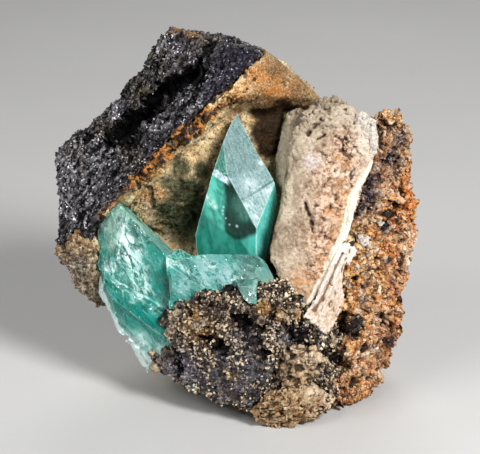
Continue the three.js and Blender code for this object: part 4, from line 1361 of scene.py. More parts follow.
# In where a noise along the edges wears them, out by shallow facets, in along the groove and the step of the
# front face; the right side is widened. The fields mark the places that the finish needs.
def sculptUpright():
    look = uprightLook
    p, faces = crystalSkin("upright_crystal", look["faceSize"])
    edge = fromEdges(p, sharpEdges("upright_crystal", 12))
    n = normalsOf(p, faces)
    worn = bell(edge, 0.22) * rise(crumple(p, 1.6, 3, 81), 0.05, 0.5)
    front = rise(n @ facing(18, 21.5), 0.9, 0.97)
    groove, _ = fromLine(p, look["groove"])
    step, _ = fromLine(p, look["step"])
    height = -0.13 * worn + 0.012 * facets(p, 2.6, 86, 0.6) * rise(edge, 0.1, 0.7)
    lip = 0.05 * bell(groove - 0.4, 0.2)
    height += front * (lip - 0.12 * bell(groove, 0.16) - 0.04 * bell(step, 0.25))
    wander = crumple(p, 2.0, 3, 83)
    x, z = p[:, 0], p[:, 2]
    strip = rise(-2.8 - x + 0.5 * wander, -0.7, 0.7)
    floor = 38.2 + 0.55 * np.maximum(x + 0.3, 0) + 0.8 * np.maximum(-0.3 - x, 0)
    floor = rise(floor - z + 0.4 * wander, -0.7, 0.8)
    fields = {
        "edge": bell(edge, 0.13),
        "worn": worn,
        "glow": np.maximum(strip, floor) * rise(53.5 - z, -0.3, 0.3),
        "groove": bell(groove, 0.13) * rise(crumple(p, 1.2, 2, 84), -0.6, 0.1),
        "step": bell(step, 0.18),
        "lit": rise(54.3 + 0.2 * (x - 2.6) - z + 0.5 * wander, -0.4, 0.8),
        "floor": floor,
        "lower": rise(48.5 - 0.6 * (p[:, 1] + 3) - z + 0.6 * wander, -1.0, 1.0),
        "wedge": floor * rise(x - 0.8 - 0.8 * (38.5 - z), -0.2, 0.3),
        "below": rise(48.1 + 0.52 * (x - 0.9) - z, 0, 0.5),
        **spotted(p, look, "white", "wisp", "bubbles", "gleam"),
    }
    wide = look["widened"] * np.clip((p @ facing(145, 0) + 2.9) / 5.5, 0, 1) * rise(60 - z, 0, 9)
    n, out = faceNormals(p, faces), n
    front = towards(n, 18, 21.5)
    # the narrow end of the front face looks like the right one
    tail = front * rise(41.8 - p[faces].mean(axis=1)[:, 2], 0, 1.0)
    masks = {
        "front": front - tail,
        "right": np.maximum(towards(n, 60, 0, 0.55), tail),
        "left": towards(n, -23, 0, 0.9),
        "top": towards(n, -25, 16, 0.97),
    }
    p = p + out * height[:, None] + wide[:, None] * facing(75, 0)
    return p, faces, fields, masks


# How much skin covers the glass on each face, then its colour: grey on the front face, teal on the others.
def uprightFinish(name):
    look = uprightLook
    f = Finish(name, look["tints"])
    front, right, left, top = (f[key] for key in ("front", "right", "left", "top"))
    streak = f.noise(0.42, 3, 0.65, look["upright"])
    broad = f.noise(2.2, 3, 0.6, (1, 1, 2.2, 0, -15, 0), warp=0.4)
    # painted glow: the left strip and the bottom get skin of the body's teal instead of the dark inside, as
    # if lit through the crystal
    glow = f["glow"] * left
    # painted highlight along a narrow bevel
    band = f.streak(*look["band"], 0.35)
    cover = f.ramp(broad, 0.3, 0.7) - 0.5
    # how much skin covers the glass on each face
    share = 0.1 + front * 0.8 + right * 0.85 * (1 - front) + glow * 0.72 + top * 0.62
    share = share + cover * (0.1 + glow * 0.2) + f["gleam"] * left * 0.3 + band * 0.75
    share = share + (f["wisp"] + f["bubbles"]) * 0.8 + f["worn"] * 0.25
    share = share + f["edge"] * f.ramp(streak, 0.25, 0.6) * 0.4
    # and its colour
    teal = f.mix(f.ramp(broad, 0.35, 0.65), *f.tints["body"])
    teal = f.lay(teal, "streak", f.ramp(streak, 0.52, 0.75) * 0.3)
    # the right face painted a bright teal: the crystal's own colour, lit as if by light passing through it
    side = f.mix(f.ramp(streak, 0.4, 0.65), *f.tints["right"])
    teal = f.mix(right, teal, f.mix(f["lower"], f.tints["rightLow"], side))
    teal = f.over(teal, "floor", left, 0.7)
    teal = f.over(teal, "wedge", left, 0.8)
    teal = f.lay(teal, "top", top * 0.8, by=(streak, 0.35, 0.6))
    grey = f.mix(f.ramp(streak, 0.3, 0.68), *f.tints["front"])
    grey = f.over(grey, "lit", 0.85, by=(streak, 0.3, 0.68))
    grey = f.over(grey, "below", 0.7, by=(streak, 0.32, 0.62))
    grey = f.lay(grey, "frost", f.ramp(f.noise(0.25, 2, 0.8), 0.5, 0.66) * 0.55)
    grey = f.lay(grey, "grit", f.ramp(f.noise(0.31, 2, 0.8), 0.52, 0.68) * 0.45)
    grey = f.over(grey, "white", f.ramp(streak, 0.25, 0.55), 0.6)
    grey = f.lay(grey, "groove", f["groove"] * 0.85 + f["step"] * 0.3)
    # painted shade: the inside of the crystal made dark on the left faces, where the hollow behind it is in
    # shade
    shade = left * (1 - f.maths("MINIMUM", f["glow"] + f["gleam"], 1))
    shade = shade * f.ramp(f["lit"], 0.2, 0.9)
    share = share + shade * 0.85
    murk = f.mix(f.ramp(f.noise(1.6, 3, 0.6, (1, 1, 3.0, 0, -15, 0)), 0.4, 0.62), *f.tints["murk"])
    teal = f.mix(shade * 0.95, teal, murk)
    teal = f.over(teal, "gleam", left, 0.8, by=(streak, 0.35, 0.65))
    colour = f.mix(front, teal, grey)
    colour = f.lay(colour, "band", band, by=(streak, 0.42, 0.6))
    # real white wisps, bubbles and worn edges, and a painted highlight along the sharp edges
    bright = f["wisp"] * f.ramp(streak, 0.35, 0.6) + f["bubbles"]
    bright = bright + f["worn"] * 0.35 + f["edge"] * 0.28
    colour = f.lay(colour, "bright", bright)
    return crystalShader(f, share, colour, front)


crossedLook = {
    "faceSize": 0.38,
    # white feathery places on the blade, on the wedge between the crystals, and at the frosted foot
    "white": [(-26, -7, 42.6, 1.8), (-25, -7.5, 40, 2.8), (-23.8, -8.3, 36.5, 3), (-22.2, -8.9, 32.5, 2.8),
              (-20.8, -10, 28.5, 2.2), (-28, -6, 33, 1.6), (-18.3, -11.6, 24.5, 1.4),
              (-21, -6, 43.5, 1.3), (-12, -13, 31, 1.8), (-15, -11, 35.5, 1.3), (-29, -6.5, 24.5, 1.4),
              (-31, -1.5, 41.2, 0.9), (-7, -12, 34, 3), (-2, -12, 33, 2.6)],
    "dull": [(-18.5, -9.5, 33, 3.4), (-18.6, -8, 36.8, 2.6), (-15.5, -11, 30, 3), (-17, -8, 38, 2.6),
             (-20, -11, 25, 2.6)],
    "clear": [(-28.5, -4, 42, 3.4), (-26.5, -5.5, 45, 2.6), (-28, -5, 38, 2)],
    "deep": [(-15.2, -13.5, 20.5, 3.2), (-18.5, -12, 21.5, 3.6), (-22, -10.8, 22.5, 3.6),
             (-26, -9.3, 24.5, 3), (-24, -9.5, 20.5, 2.4), (-18, -10.5, 29.5, 1.4), (-16, -10, 33, 1.8),
             (-17, -8.5, 37, 1.6), (-19.5, -11.5, 26, 2)],
    "foot": [(-24, -8.5, 14.5, 4.2), (-20.5, -9.5, 11.5, 4), (-28, -7.6, 18.5, 2.8),
             (-16.5, -12.8, 14.5, 2.4), (-21, -9.5, 17, 2.4), (-30, -6.4, 22, 2)],
    "grey": [(3.5, -12, 33, 3.5), (7.5, -12, 32, 3), (2.5, -19.5, 31.5, 4.5)],
    "gem": [(-25.6, -9.4, 28.2), (-24.2, -9.9, 28.2), (-22.9, -10.5, 25.6), (-25.4, -9.6, 26),
            (-25.6, -9.4, 28.2)],
    "rim": [(-31.2, -5.5, 28.5), (-29.8, -6.3, 24), (-27.8, -7, 19.8), (-25.2, -7.8, 16), (-22.8, -8.4, 12.2),
            (-21, -9, 9.5)],
    "lines": [  # long straight cracks: from, to, width
        ((-26.8, -9.2, 29.5), (-17.5, -12.5, 21), 0.12),
        ((-26.3, -6.5, 44), (-25.3, -8.3, 35.5), 0.14),
        ((-24.4, -7.4, 40), (-19.2, -10.6, 27), 0.12),
        ((-22.5, -6.6, 42.5), (-15.6, -10.6, 34), 0.12),
        ((-14.6, -11.6, 35), (-5.8, -14.6, 29.4), 0.2),
        ((-12.5, -12, 34.5), (2.5, -14, 30.5), 0.12),
    ],
    "along": (4, 1, 1, 0, 47, 0),
    "down": (3.2, 1, 1, 0, 66, 0),
    "fine": (2.6, 1, 1, 0, 58, 0),
    "over": (3.6, 1, 1, 0, 24, 0),
    "tints": {
        "body": ((0.012, 0.27, 0.2), (0.045, 0.46, 0.37)), "patch": (0.03, 0.4, 0.33),
        "deep": (0.006, 0.185, 0.15), "dull": ((0.003, 0.12, 0.095), (0.01, 0.23, 0.185)),
        "clear": (0.44, 0.68, 0.56), "bevel": (0.3, 0.6, 0.5), "lying": (0.075, 0.215, 0.195),
        "grey": (0.19, 0.31, 0.26), "lace": ((0.76, 0.92, 0.9), (0.26, 0.72, 0.66)),
        "lyingLace": (0.3, 0.47, 0.47),
    },
}


# In where a noise along the edges wears them, out by facets of two sizes. The fields mark the places that
# the finish needs.
def sculptCrossed():
    look = crossedLook
    p, faces = crystalSkin("crossed_crystals", look["faceSize"])
    edge = fromEdges(p, sharpEdges("crossed_crystals", 12))
    n = normalsOf(p, faces)
    worn = bell(edge, 0.55) * rise(crumple(p, 1.9, 3, 91), -0.1, 0.4)
    height = -0.75 * worn + 0.1 * facets(p, 3.0, 96, 0.7) * rise(edge, 0.1, 0.9) + 0.03 * facets(p, 0.9, 97)
    face = n @ facing(0, 20)
    rim = rise(0.4 - face, 0, 0.25) * rise(face, -0.3, 0)  # faces seen edge on at the outline
    gem, _ = fromLine(p, look["gem"])
    chipped, _ = fromLine(p, look["rim"], flat=True)
    fields = {
        "edge": bell(edge, 0.16),
        "worn": worn,
        "foot": np.clip(around(p, look["foot"]) + 0.8 * rim * rise(30 - p[:, 2], 0, 3), 0, 1),
        "chipped": rise(1.35 - chipped + 0.8 * crumple(p, 1.6, 3, 93), 0, 0.9),
        "gem": bell(gem, 0.22),
        **spotted(p, look, "white", "clear", "deep", "dull", "grey"),
    }
    p = p + n * height[:, None]
    n = faceNormals(p, faces)
    middle = p[faces].mean(axis=1)
    lying = towards(n, 4, 36, 0.86) * rise(middle[:, 0], -15, -13)
    masks = {"lying": lying, "bevel": towards(n, 98, 43, 0.9), "blade": towards(n, -12, 6, 0.88)}
    return p, faces, fields, masks


# Skin where there is white lace, frost, cracks or splinters, glass between; teal, lighter with more lace.
def crossedFinish(name):
    look = crossedLook
    f = Finish(name, look["tints"])
    lying, bevel = f["lying"], f["bevel"]
    spots = ("white", "clear", "deep", "foot", "grey", "dull")
    white, clear, deep, foot, grey, dull = (f[key] for key in spots)
    along = f.noise(0.5, 4, 0.7, look["along"], warp=0.3)
    down = f.noise(0.55, 4, 0.7, look["down"], warp=0.5)
    over = f.noise(0.48, 4, 0.7, look["over"], warp=0.3)
    broad = f.noise(3.0, 3, 0.55, look["along"])
    patch = f.cellMark(2.4, "Red", look["along"]) - 0.5
    chip = f.cellMark(1.0, "Green", look["down"]) - 0.5
    feather = f.mix(lying, f.mix(white, along, down), over)
    feather = f.ramp(feather, 0.52, 0.7)
    fine = f.ramp(f.noise(0.26, 3, 0.75, look["fine"]), 0.54, 0.66)
    # thin bright borders of two sizes of splinter
    crackle = 0
    for size, way in ((1.6, "down"), (0.75, "fine")):
        border = f.cells(size, "DISTANCE_TO_EDGE", stretch=look[way])
        crackle = (1 - f.ramp(border, 0.01, 0.09)) * f.ramp(f.noise(1.3, 2), 0.42, 0.58) + crackle
    splinter = f.cellMark(0.75, "Blue", look["fine"]) - 0.5
    cracks = 0
    for start, end, width in look["lines"]:
        cracks = f.streak(start, end, width, 0.8, 0.35) * f.ramp(broad, 0.25, 0.5) + cracks
    lace = white * (0.55 + feather * 0.7 + chip * 1.0) + feather * (0.15 + lying * 0.35) * (1 - clear)
    lace = lace + fine * (0.18 + white * 0.5) + crackle * (0.2 + white * 0.35 - lying * 0.18)
    lace = (lace + splinter * white * 1.2) * (1 - deep * 0.95) * (1 - dull * 0.8)
    frost = foot * f.ramp(f.noise(1.6, 4, 0.6), 0.2, 0.6)
    share = 0.38 + lace * 0.8 + clear * 0.35 + lying * 0.28 + bevel * 0.4 + frost * 0.65 + cracks * 0.4
    share = share + patch * 0.5 + deep * 0.42 + dull * (1 - lying) * 0.28
    share = share + f["edge"] * f.ramp(along, 0.4, 0.6) * 0.35 + f["worn"] * 0.35
    share = share + f["gem"] * 0.3 + f["chipped"] * 0.7 + splinter * 0.2
    teal = f.mix(f.ramp(broad, 0.35, 0.65), *f.tints["body"])
    teal = f.lay(teal, "patch", 0.5 + patch)
    teal = f.lay(teal, "deep", deep * 0.9)
    teal = f.lay(teal, "dull", dull * (1 - lying) * 0.9, by=(down, 0.42, 0.6))
    teal = f.lay(teal, "clear", clear * 0.85)
    teal = f.lay(teal, "bevel", bevel * 0.6)
    teal = f.lay(teal, "lying", lying * 0.7)
    teal = f.lay(teal, "grey", grey * 0.8)
    # real white lace, frost, cracks and worn edges, and a painted highlight along the sharp edges
    bright = lace * 0.85 + frost * 0.95 + cracks * 0.45 + f["worn"] * 0.35 + f["edge"] * 0.25
    bright = bright + f["gem"] * 0.45 + f["chipped"] * f.ramp(down, 0.35, 0.55)
    colour = f.mix(bright, teal, f.mix(lying, f.mix(deep, *f.tints["lace"]), f.tints["lyingLace"]))
    return crystalShader(f, share, colour, foot * 0.6 + white * 0.25 + f["chipped"] * 0.4)


# A sheet of a healed crack inside a crystal: a plane through middle, across u and v, bent by noise.
# Faces outside the crystal are left out.
def veil(name, node, middle, u, v, halfU, halfV, bend, salt):
    u, v = np.array(u, float), np.array(v, float)
    u /= np.linalg.norm(u)
    v -= u * (u @ v)
    v /= np.linalg.norm(v)
    n = np.cross(u, v)
    count = 34
    a, b = np.meshgrid(np.linspace(-1, 1, count), np.linspace(-1, 1, count), indexing="ij")
    a, b = a.ravel(), b.ravel()
    p = np.array(middle) + a[:, None] * u * halfU + b[:, None] * v * halfV
    p = p + n * (bend * (crumple(p, max(halfU, halfV), 2, salt) + 0.4 * (a * a + b * b)))[:, None]
    index = np.arange(count * count).reshape(count, count)
    faces = np.stack([index[:-1, :-1], index[1:, :-1], index[1:, 1:], index[:-1, 1:]], axis=-1).reshape(-1, 4)
    margin = 0.35
    kept = np.ones(len(p), bool)
    for shift in margin * np.concatenate([np.eye(3), -np.eye(3)]):
        kept &= insideOf(p + shift, [node])
    faces = faces[kept[faces].all(axis=1)]
    fade = np.clip(1 - np.sqrt(a * a + b * b), 0, 1)
    used, faces = np.unique(faces, return_inverse=True)
    return meshObject(name, p[used], faces.reshape(-1, 4), {"fade": fade[used]})


# Feathers and thin lines that fade out towards the sheet's border, clear between them.
def veilFinish(name, density, size, colour):
    f = Finish(name)
    feather = f.noise(size, 5, 0.7, warp=1.2)
    lines = f.threads(size * 0.8, 0.03, (1, 1, 3.0, 0, 35, 0))
    alpha = (f.ramp(feather, 0.42, 0.68) * density + lines * 0.2) * f.ramp(f["fade"], 0.0, 0.35)
    inputs = {"Base Color": colour, "Roughness": 0.4, "Alpha": alpha, "IOR": 1.2}
    return f.surface(f.add("ShaderNodeBsdfPrincipled", {}, inputs, "BSDF"))


report("helpers ready")

rockPieces = {
    "dark_rock": (sculptDark, darkFinish, "dark_rock"),
    "ochre_wall": (sculptWall, wallFinish, "ochre_rock"),
    "rusty_block": (sculptRusty, rustyFinish, "rusty_rock"),
    "front_rock": (sculptFront, frontFinish, "druse_rock"),
    "pale_slab": (sculptSlab, slabFinish, "pale_rock"),
    "white_flake": (sculptFlake, flakeFinish, "white_rock"),
    "buff_crust": (sculptBuff, buffFinish, "buff_rock"),
}
surfaces = {}
for node, (sculpt, finish, slot) in rockPieces.items():
    p, faces, fields = sculpt()
    surfaces[node] = (p, faces, fields)
    rock = meshObject(node + "_surface", p, faces, fields)
    settle(rock, finish(node + "_finish"), slot, node)
    report(f"{node}: {len(faces) * 2} triangles")


crystalPieces = {
    "upright_crystal": (sculptUpright, uprightFinish, "clear_crystal"),
    "crossed_crystals": (sculptCrossed, crossedFinish, "feathered_crystal"),
}
for node, (sculpt, finish, slot) in crystalPieces.items():
    p, faces, fields, masks = sculpt()
    body = meshObject(node + "_body", p, faces, fields, True, masks)
    body.data.set_sharp_from_angle(angle=math.radians(14))
    settle(body, finish(node + "_glass"), slot, node)
    report(f"{node}: {len(faces)} triangles")


veils = {
    # name: node, middle, two directions across it, half sizes, bend
    "veil_upright_low": ("upright_crystal", (-1, -1.5, 37), (1, 0.2, 0.1), (0, 0.5, 0.8), 8, 6, 1.2),
    "veil_upright_left": ("upright_crystal", (-5, -0.5, 46), (0.6, -0.5, 0.3), (-0.1, 0.3, 1), 3.5, 9, 0.8),
    "veil_blade_a": ("crossed_crystals", (-22, -5, 36), (0.7, 0.2, 0.7), (0.6, 0.3, -0.8), 8, 7, 1.5),
    "veil_blade_b": ("crossed_crystals", (-20, -3, 38), (1, 0.3, 0), (0, 0.5, 1), 7, 8, 1.5),
    "veil_under": ("crossed_crystals", (-22, -6, 22), (0.8, 0.1, -0.6), (0.3, 0.5, 0.8), 7, 6, 1.2),
    "veil_lying_a": ("crossed_crystals", (-4, -8, 33), (1, 0, -0.1), (0, 0.7, 0.6), 9, 4, 1),
    "veil_lying_b": ("crossed_crystals", (2, -8, 32), (0.9, -0.2, -0.4), (0.1, 0.9, 0.3), 6, 4, 1),
}
veilMaterial = veilFinish("veil_finish", 0.75, 2.4, (0.75, 0.95, 0.92))
for index, (name, (node, middle, u, v, halfU, halfV, bend)) in enumerate(veils.items()):
    pane = veil(name, node, middle, u, v, halfU, halfV, bend, 100 + index)
    settle(pane, veilMaterial, "clear_crystal" if node == "upright_crystal" else "feathered_crystal")
report("veils")


# Grains on one rock where wanted is high and nothing else covers them.
def coatWith(name, look):
    node = look["rock"]
    p, faces, fields = surfaces[node]
    chance = np.random.default_rng(look["seed"])
    middle = p[faces].mean(axis=1)
    high = 1 - 0.92 * rise(fields["pit"][faces].mean(axis=1), 0.45, 0.8)  # hollows stay open
    places, normals = scattered(p, faces, look["wanted"](middle) * high, look["drawn"], chance)
    kept = thinned(places, look["gap"])
    places, normals = places[kept], normals[kept]
    others = [other for other in allStone + allCrystal if other != node]
    free = ~insideOf(places + normals * 0.8, others)
    places, normals = places[free], normals[free]
    small, large = look["sizes"]
    size = small + (large - small) * chance.uniform(0, 1, len(places)) ** 2
    own = spotted(places, rockLooks[node], *look["marks"])
    piece = grainMesh(name, places, normals, size, chance, own, **look["set"])
    settle(piece, grainFinish(look["finish"], look["stops"], look["rough"], look["marks"]), look["slot"])
    report(f"{name}: {len(places)} grains")


# Grains: a ramp of colours by each one's own tone, towards other colours by its marks.
def grainFinish(name, stops, rough, marks):
    f = Finish(name)
    tone = f["tone"]
    place = tone + (f.noise(2.5, 2) - 0.5) * 0.7
    colour = f.add("ShaderNodeValToRGB", {"stops": stops}, {"Fac": place}, "Color")
    for key, other in marks.items():
        colour = f.mix(f[key] * (0.4 + tone * 0.6), colour, other)
    colour = f.mix(f.ramp(f.noise(0.3, 3), 0.3, 0.7) * 0.35, colour, (0.01, 0.008, 0.006))
    relief = f.bump(f.noise(0.2, 3, 0.6), 0.05, 0.8)
    return f.surface(f.coat(colour, rough, relief, Specular_IOR_Level=0.25))


# How thickly each rock is set with grains at a place, from 0 for none.
def frontWanted(q):
    bare = around(q, frontRock["bare"])
    clusters = rise(crumple(q, 3.5, 2, 203), -0.35, 0.15)
    wanted = (1 - 0.93 * bare) * rise(-q[:, 1], 4, 9) * (0.12 + clusters)
    return wanted * (1 - 0.8 * around(q, frontRock["hollow"]))


def rustyWanted(q):
    clusters = 0.04 + rise(crumple(q, 3.6, 2, 204), -0.1, 0.25)
    return clusters * (1 - 0.5 * around(q, rustyBlock["tan"])) * (1 - 0.8 * around(q, rustyBlock["violet"]))


def darkWanted(q):
    return rise(crumple(q, 3.0, 2, 205), 0.1, 0.4) * (0.15 + around(q, darkRock["bright"]))


def rimWanted(q):
    return around(q, ochreWall["knobs"]) + 0.6 * around(q, ochreWall["crust"])


rockLooks = {
    "front_rock": frontRock, "rusty_block": rustyBlock, "dark_rock": darkRock, "ochre_wall": ochreWall,
}
grains = {
    # drawn: how many before thinning to one in each cell of gap; set: how they sit on the rock
    "druse_grains": {
        "rock": "front_rock", "slot": "druse_rock", "wanted": frontWanted, "seed": 301,
        "drawn": 22000, "gap": 0.58, "sizes": (0.42, 0.95),
        "set": dict(lean=0.7, sink=0.1, stretch=(0.85, 0.85, 1.25)),
        "finish": "druse_grain_finish", "rough": 0.35,
        "stops": [(0.0, (0.009, 0.006, 0.006)), (0.32, (0.04, 0.027, 0.022)), (0.49, (0.19, 0.12, 0.068)),
                  (0.7, (0.72, 0.54, 0.34)), (1.0, (0.96, 0.85, 0.66))],
        "marks": {"dim": (0.075, 0.048, 0.04), "gold": (0.55, 0.28, 0.07), "violet": (0.07, 0.065, 0.1),
                  "lilac": (0.33, 0.31, 0.37)},
    },
    "rusty_grains": {
        "rock": "rusty_block", "slot": "rusty_rock", "wanted": rustyWanted, "seed": 302,
        "drawn": 9000, "gap": 0.72, "sizes": (0.35, 1.0),
        "set": dict(lean=0.7, sink=0.35),
        "finish": "rusty_grain_finish", "rough": 0.5,
        "stops": [(0.0, (0.04, 0.014, 0.008)), (0.22, (0.34, 0.095, 0.022)), (0.48, (0.76, 0.3, 0.07)),
                  (0.74, (0.86, 0.54, 0.23)), (1.0, (0.95, 0.8, 0.58))],
        "marks": {"orange": (0.84, 0.22, 0.025), "tan": (0.78, 0.52, 0.26), "gold": (0.68, 0.42, 0.16),
                  "pink": (0.8, 0.46, 0.3), "cream": (0.9, 0.76, 0.56), "violet": (0.035, 0.026, 0.034),
                  "dark": (0.01, 0.007, 0.01)},
    },
    "dark_grains": {
        "rock": "dark_rock", "slot": "dark_rock", "wanted": darkWanted, "seed": 303,
        "drawn": 5000, "gap": 0.7, "sizes": (0.2, 0.6),
        "set": dict(lean=1.0),
        "finish": "dark_grain_finish", "rough": 0.3,
        "stops": [(0.0, (0.01, 0.009, 0.011)), (0.5, (0.045, 0.04, 0.045)), (0.85, (0.16, 0.15, 0.17)),
                  (1.0, (0.55, 0.52, 0.58))],
        "marks": {},
    },
    "amber_grains": {
        "rock": "ochre_wall", "slot": "ochre_rock", "wanted": rimWanted, "seed": 304,
        "drawn": 2500, "gap": 0.7, "sizes": (0.4, 1.2),
        "set": dict(lean=0.8),
        "finish": "amber_grain_finish", "rough": 0.45,
        "stops": [(0.0, (0.035, 0.014, 0.006)), (0.35, (0.2, 0.085, 0.022)), (0.7, (0.44, 0.21, 0.055)),
                  (1.0, (0.6, 0.36, 0.13))],
        "marks": {"crust": (0.24, 0.22, 0.19)},
    },
}
for name, look in grains.items():
    coatWith(name, look)


# Lumps strung along a path at chance places: radius between two sizes, mostly near the smaller.
def strung(path, count, sizes, spread, seed):
    chance = np.random.default_rng(seed)
    places = smoothPath(path, 400)[chance.integers(0, 400, count)] + spread * chance.normal(size=(count, 3))
    radii = sizes[0] + (sizes[1] - sizes[0]) * chance.uniform(0, 1, count) ** 2
    shapes = radii[:, None] * chance.uniform(0.65, 1.3, (count, 3))
    return [tuple(one) for one in np.concatenate([places, shapes], axis=1)]


accents = {
    # name: slot, finish, unevenness, lumps (x, y, z, three radii)
    "white_rind": ("pale_rock", "rindFinish", 0.22, [
        (28, -1.5, 66, 1.7, 0.9, 2), (29.4, -2.3, 64.6, 1.6, 0.9, 2.3), (30.3, -3.1, 62.4, 1.4, 0.9, 2.3),
        (29, -2.8, 62.6, 1.6, 0.9, 2.3), (30.4, -4, 60, 1, 0.9, 2.2)]),
    "white_nugget": ("white_rock", "rindFinish", 0.45, [
        (28.4, -8.9, 40, 1.5, 1, 1.25), (29.4, -8.6, 39.2, 0.9, 0.8, 0.7), (32.4, -6, 43, 0.7, 0.6, 0.6),
        (27.6, -8.9, 40.8, 0.8, 0.7, 0.6)]),
    "cream_lumps": ("rusty_rock", "creamFinish", 0.45, [
        (38.6, 0.4, 37.5, 1.1, 1, 1.5), (39, 0.6, 34.5, 1, 0.9, 1.6), (38.7, 0.8, 31, 0.9, 0.9, 1.7),
        (34.2, -3.2, 49.6, 0.6, 0.6, 0.6), (30.8, -7, 37.4, 1, 0.8, 0.9), (29.8, -8, 36, 0.7, 0.7, 0.8),
        (31, -6.6, 22.6, 0.9, 0.7, 0.8), (29, -9.2, 12.6, 1.2, 0.9, 1), (26.6, -11.2, 13.6, 1, 0.8, 0.9),
        (27.6, -10.4, 9.8, 1.1, 0.8, 0.8), (32.4, -4.4, 26.2, 0.8, 0.6, 0.8), (31.8, -4.2, 12, 1, 0.8, 0.9)]),
    "black_nodules": ("rusty_rock", "glossyFinish", 0.45, [
        (25.4, -11.2, 40.6, 0.9, 0.8, 0.8), (24.8, -11, 42.6, 0.6, 0.6, 0.7),
        (33.2, -4.6, 42.2, 1.2, 0.9, 1.1), (33.6, -4.2, 44.6, 0.7, 0.7, 0.7), (26.9, -10, 27, 1, 0.6, 0.6),
        (25.8, -11.6, 19.6, 1.6, 0.9, 1.3), (27.2, -10.9, 21.4, 1.1, 0.8, 1.2),
        (34.2, -2.8, 33.4, 0.7, 0.6, 1.2), (32.6, -3.6, 55.4, 0.8, 0.7, 0.9),
        (33.6, -2.6, 57.4, 0.8, 0.7, 0.8), (30, -6.6, 51.6, 0.8, 0.7, 0.9), (29, -7.4, 49.4, 0.8, 0.7, 0.9),
        (27.9, -8.2, 47.6, 0.7, 0.6, 0.8), (14.8, -18.9, 22.8, 0.8, 0.7, 0.7),
        (18.4, -17.8, 21.4, 0.7, 0.7, 0.6)]),
    "rim_nodules": ("ochre_rock", "nodulesFinish", 0.55,
        strung([(-23.5, -4.5, 52), (-19.3, -4.2, 56.2), (-15.5, -4.4, 60), (-11, -4.4, 64.4),
                (-7, -2.8, 67.2)], 52, (0.4, 1.3), 0.85, 611)
        + strung([(-29.5, -3.9, 47), (-23.5, -4.5, 52)], 16, (0.25, 0.75), 0.45, 612)
        + strung([(-7, -2.8, 67.2), (-3, -0.6, 69.6), (0.5, 0.6, 72.5), (4, -0.1, 77)],
                 28, (0.25, 0.85), 0.6, 613)),
    "back_crumbs": ("ochre_rock", "crumbFinish", 0.5,
        # the first two close a gap in the wall
        [(-30.4, 12.8, 38.2, 2.2, 2.2, 2.2), (-31.2, 14, 38.4, 1.3, 1.2, 1.3)]
        + strung([(-38, 8.6, 38.6), (-34, 11.6, 40.6), (-31, 13.8, 41.2), (-28.5, 15.6, 42),
                  (-25.5, 17, 43.6), (-22.5, 18.6, 45)], 56, (0.8, 1.9), 0.6, 621)
        + strung([(18.6, 18.6, 3), (19.4, 19.8, 12), (19.6, 20.2, 20), (19.7, 20.2, 30), (19.5, 19.4, 40),
                  (19.6, 16.5, 48)], 60, (0.6, 1.7), 0.6, 622)),
    "druse_clumps": ("druse_rock", "clumpFinish", 0.45, [
        (-8.6, -19.2, 23.4, 1.3, 0.9, 1.1), (-7.2, -19.6, 24.6, 1, 0.8, 0.9),
        (10, -19.2, 26.2, 0.9, 0.7, 0.8), (12.6, -18.8, 27, 0.9, 0.7, 0.9), (5.4, -20.2, 25.4, 1, 0.8, 0.9),
        (-1.6, -21.2, 12.6, 0.9, 0.6, 0.8), (-13.6, -16, 24.6, 1.3, 0.9, 1.4),
        (-14.4, -15.4, 21.6, 1, 0.9, 1.3), (-18.4, -12, 10.6, 1.2, 0.9, 1.3),
        (-19.2, -11.2, 13.6, 0.9, 0.8, 1.2)]),
}


# A skin for lumps: two colours by a fine noise and by the mark of each small cell, with painted shade in the
# gaps.
def lumpFinish(name, dark, light, rough, sparkle=0.3, spread=0.0):
    f = Finish(name)
    small = f.noise(0.6, 4, 0.7) + (f["mark"] - 0.5) * spread
    base = f.mix(f.ramp(small, 0.36, 0.64), dark, light)
    # painted shade in the gaps between lumps
    base = f.mix(f.ramp(f["gap"], 0.0, 0.1) * 0.85, base, tuple(part * 0.25 for part in dark))
    relief = f.bump(f.noise(0.35, 4, 0.7), 0.16, 0.9, f.glitter(0.4, sparkle))
    return f.surface(f.coat(base, rough, relief, Specular_IOR_Level=0.5))


lumpFinishes = {
    "rindFinish": lumpFinish("white_rind_finish", (0.38, 0.32, 0.27), (0.71, 0.645, 0.57), 0.6, 0.2),
    "creamFinish": lumpFinish("cream_finish", (0.4, 0.22, 0.11), (0.84, 0.68, 0.49), 0.6, 0.3, 0.3),
    "glossyFinish": lumpFinish("black_nodule_finish", (0.004, 0.004, 0.005), (0.018, 0.015, 0.019),
                               0.13, 0.12),
    "nodulesFinish": lumpFinish("nodule_finish", (0.02, 0.007, 0.002), (0.43, 0.17, 0.03), 0.45, 0.5, 1.0),
    "crumbFinish": lumpFinish("crumb_finish", (0.055, 0.026, 0.011), (0.42, 0.25, 0.12), 0.6, 0.4, 0.5),
    "clumpFinish": lumpFinish("clump_finish", (0.07, 0.045, 0.025), (0.5, 0.38, 0.25), 0.5, 0.4, 0.3),
}
for index, (name, (slot, finish, uneven, lumps)) in enumerate(accents.items()):
    solids = [lump(*one, 400 + 20 * index + k, uneven=uneven) for k, one in enumerate(lumps)]
    p, faces = fused(bpy.data.meshes.new(name), solids, 0.22, 1)
    n = normalsOf(p, faces)
    height = 0.5 * facets(p, 0.8, 500 + index, 1.4) + 0.3 * crumple(p, 0.9, 2, 520 + index)
    p = p + n * uneven * height[:, None]
    fields = {"mark": seeds(p, 1.3, 540 + index)[2], "gap": hollowness(p, faces, 8)}
    piece = meshObject(name, p, faces, fields)
    settle(piece, lumpFinishes[finish], slot)
report("lumps")

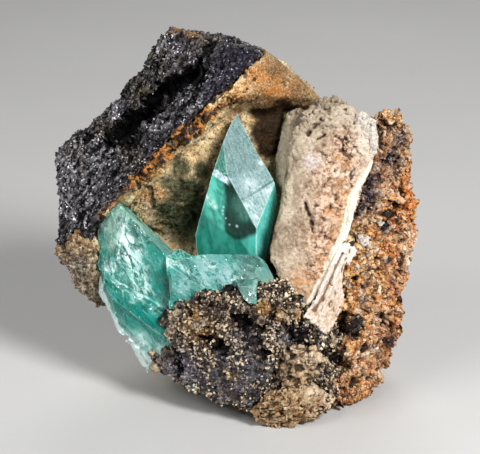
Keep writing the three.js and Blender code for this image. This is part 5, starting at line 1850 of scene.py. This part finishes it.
# The floor, the light and the camera.
studio = {
    "floorSize": 3000,
    "aim": (0.8, 0, 40),
    "distance": 424.8,
    "elevation": 20,
    "lens": 140,
    "sky": 0.06,
    # name: direction from the specimen, distance, width, height, watts
    "softboxes": {
        "keyBox": ((0.46, -0.7, 0.62), 620, 170, 170, 5.0),
        "leftBox": ((-0.62, -0.52, 0.66), 640, 320, 240, 1.8),
        "backBox": ((0.15, 0.75, 0.72), 640, 400, 240, 1.3),
    },
}


def buildFloor():
    half = studio["floorSize"] / 2
    p = np.array([[-half, -half, 0], [half, -half, 0], [half, half, 0], [-half, half, 0]], float)
    floor = meshObject("floor", p, np.array([[0, 1, 2, 3]]), {})
    f = Finish("floor_finish")
    tint = f.mix(f.noise(60, 2), (0.56, 0.555, 0.545), (0.6, 0.595, 0.585))
    skin = f.coat(tint, 0.55, f.bump(f.noise(2.0, 2), 0.02, 0.3), Specular_IOR_Level=0.3)
    floor.data.materials.append(f.surface(skin))


def addSoftbox(name, direction, distance, width, height, watts):
    light = bpy.data.lights.new(name, "AREA")
    light.shape = "RECTANGLE"
    light.size = width * mm
    light.size_y = height * mm
    light.energy = watts
    box = bpy.data.objects.new(name, light)
    bpy.context.scene.collection.objects.link(box)
    out = np.array(direction) / np.linalg.norm(direction)
    box.location = (np.array(studio["aim"]) + out * distance) * mm
    box.rotation_euler = aimed(-out)


# Turns that point a light or a camera, which look along their own -Z, along a direction.
def aimed(direction):
    x, y, z = direction
    return (math.atan2(math.hypot(x, y), -z), 0, math.atan2(-x, y))


def buildStudio():
    world = bpy.data.worlds.new("studioSky")
    bpy.context.scene.world = world
    world.use_nodes = True
    sky = world.node_tree.nodes["Background"]
    sky.inputs["Color"].default_value = (0.95, 0.97, 1.0, 1)
    sky.inputs["Strength"].default_value = studio["sky"]
    for name, box in studio["softboxes"].items():
        addSoftbox(name, *box)
    tilt = math.radians(studio["elevation"])
    look = np.array([0, math.cos(tilt), -math.sin(tilt)])
    lens = bpy.data.cameras.new("viewCamera")
    lens.lens = studio["lens"]
    lens.clip_start = 0.01
    camera = bpy.data.objects.new("viewCamera", lens)
    bpy.context.scene.collection.objects.link(camera)
    camera.location = (np.array(studio["aim"]) - look * studio["distance"]) * mm
    camera.rotation_euler = aimed(look)
    bpy.context.scene.camera = camera
    bpy.context.scene.view_settings.view_transform = "Standard"


buildFloor()
buildStudio()
report("studio")
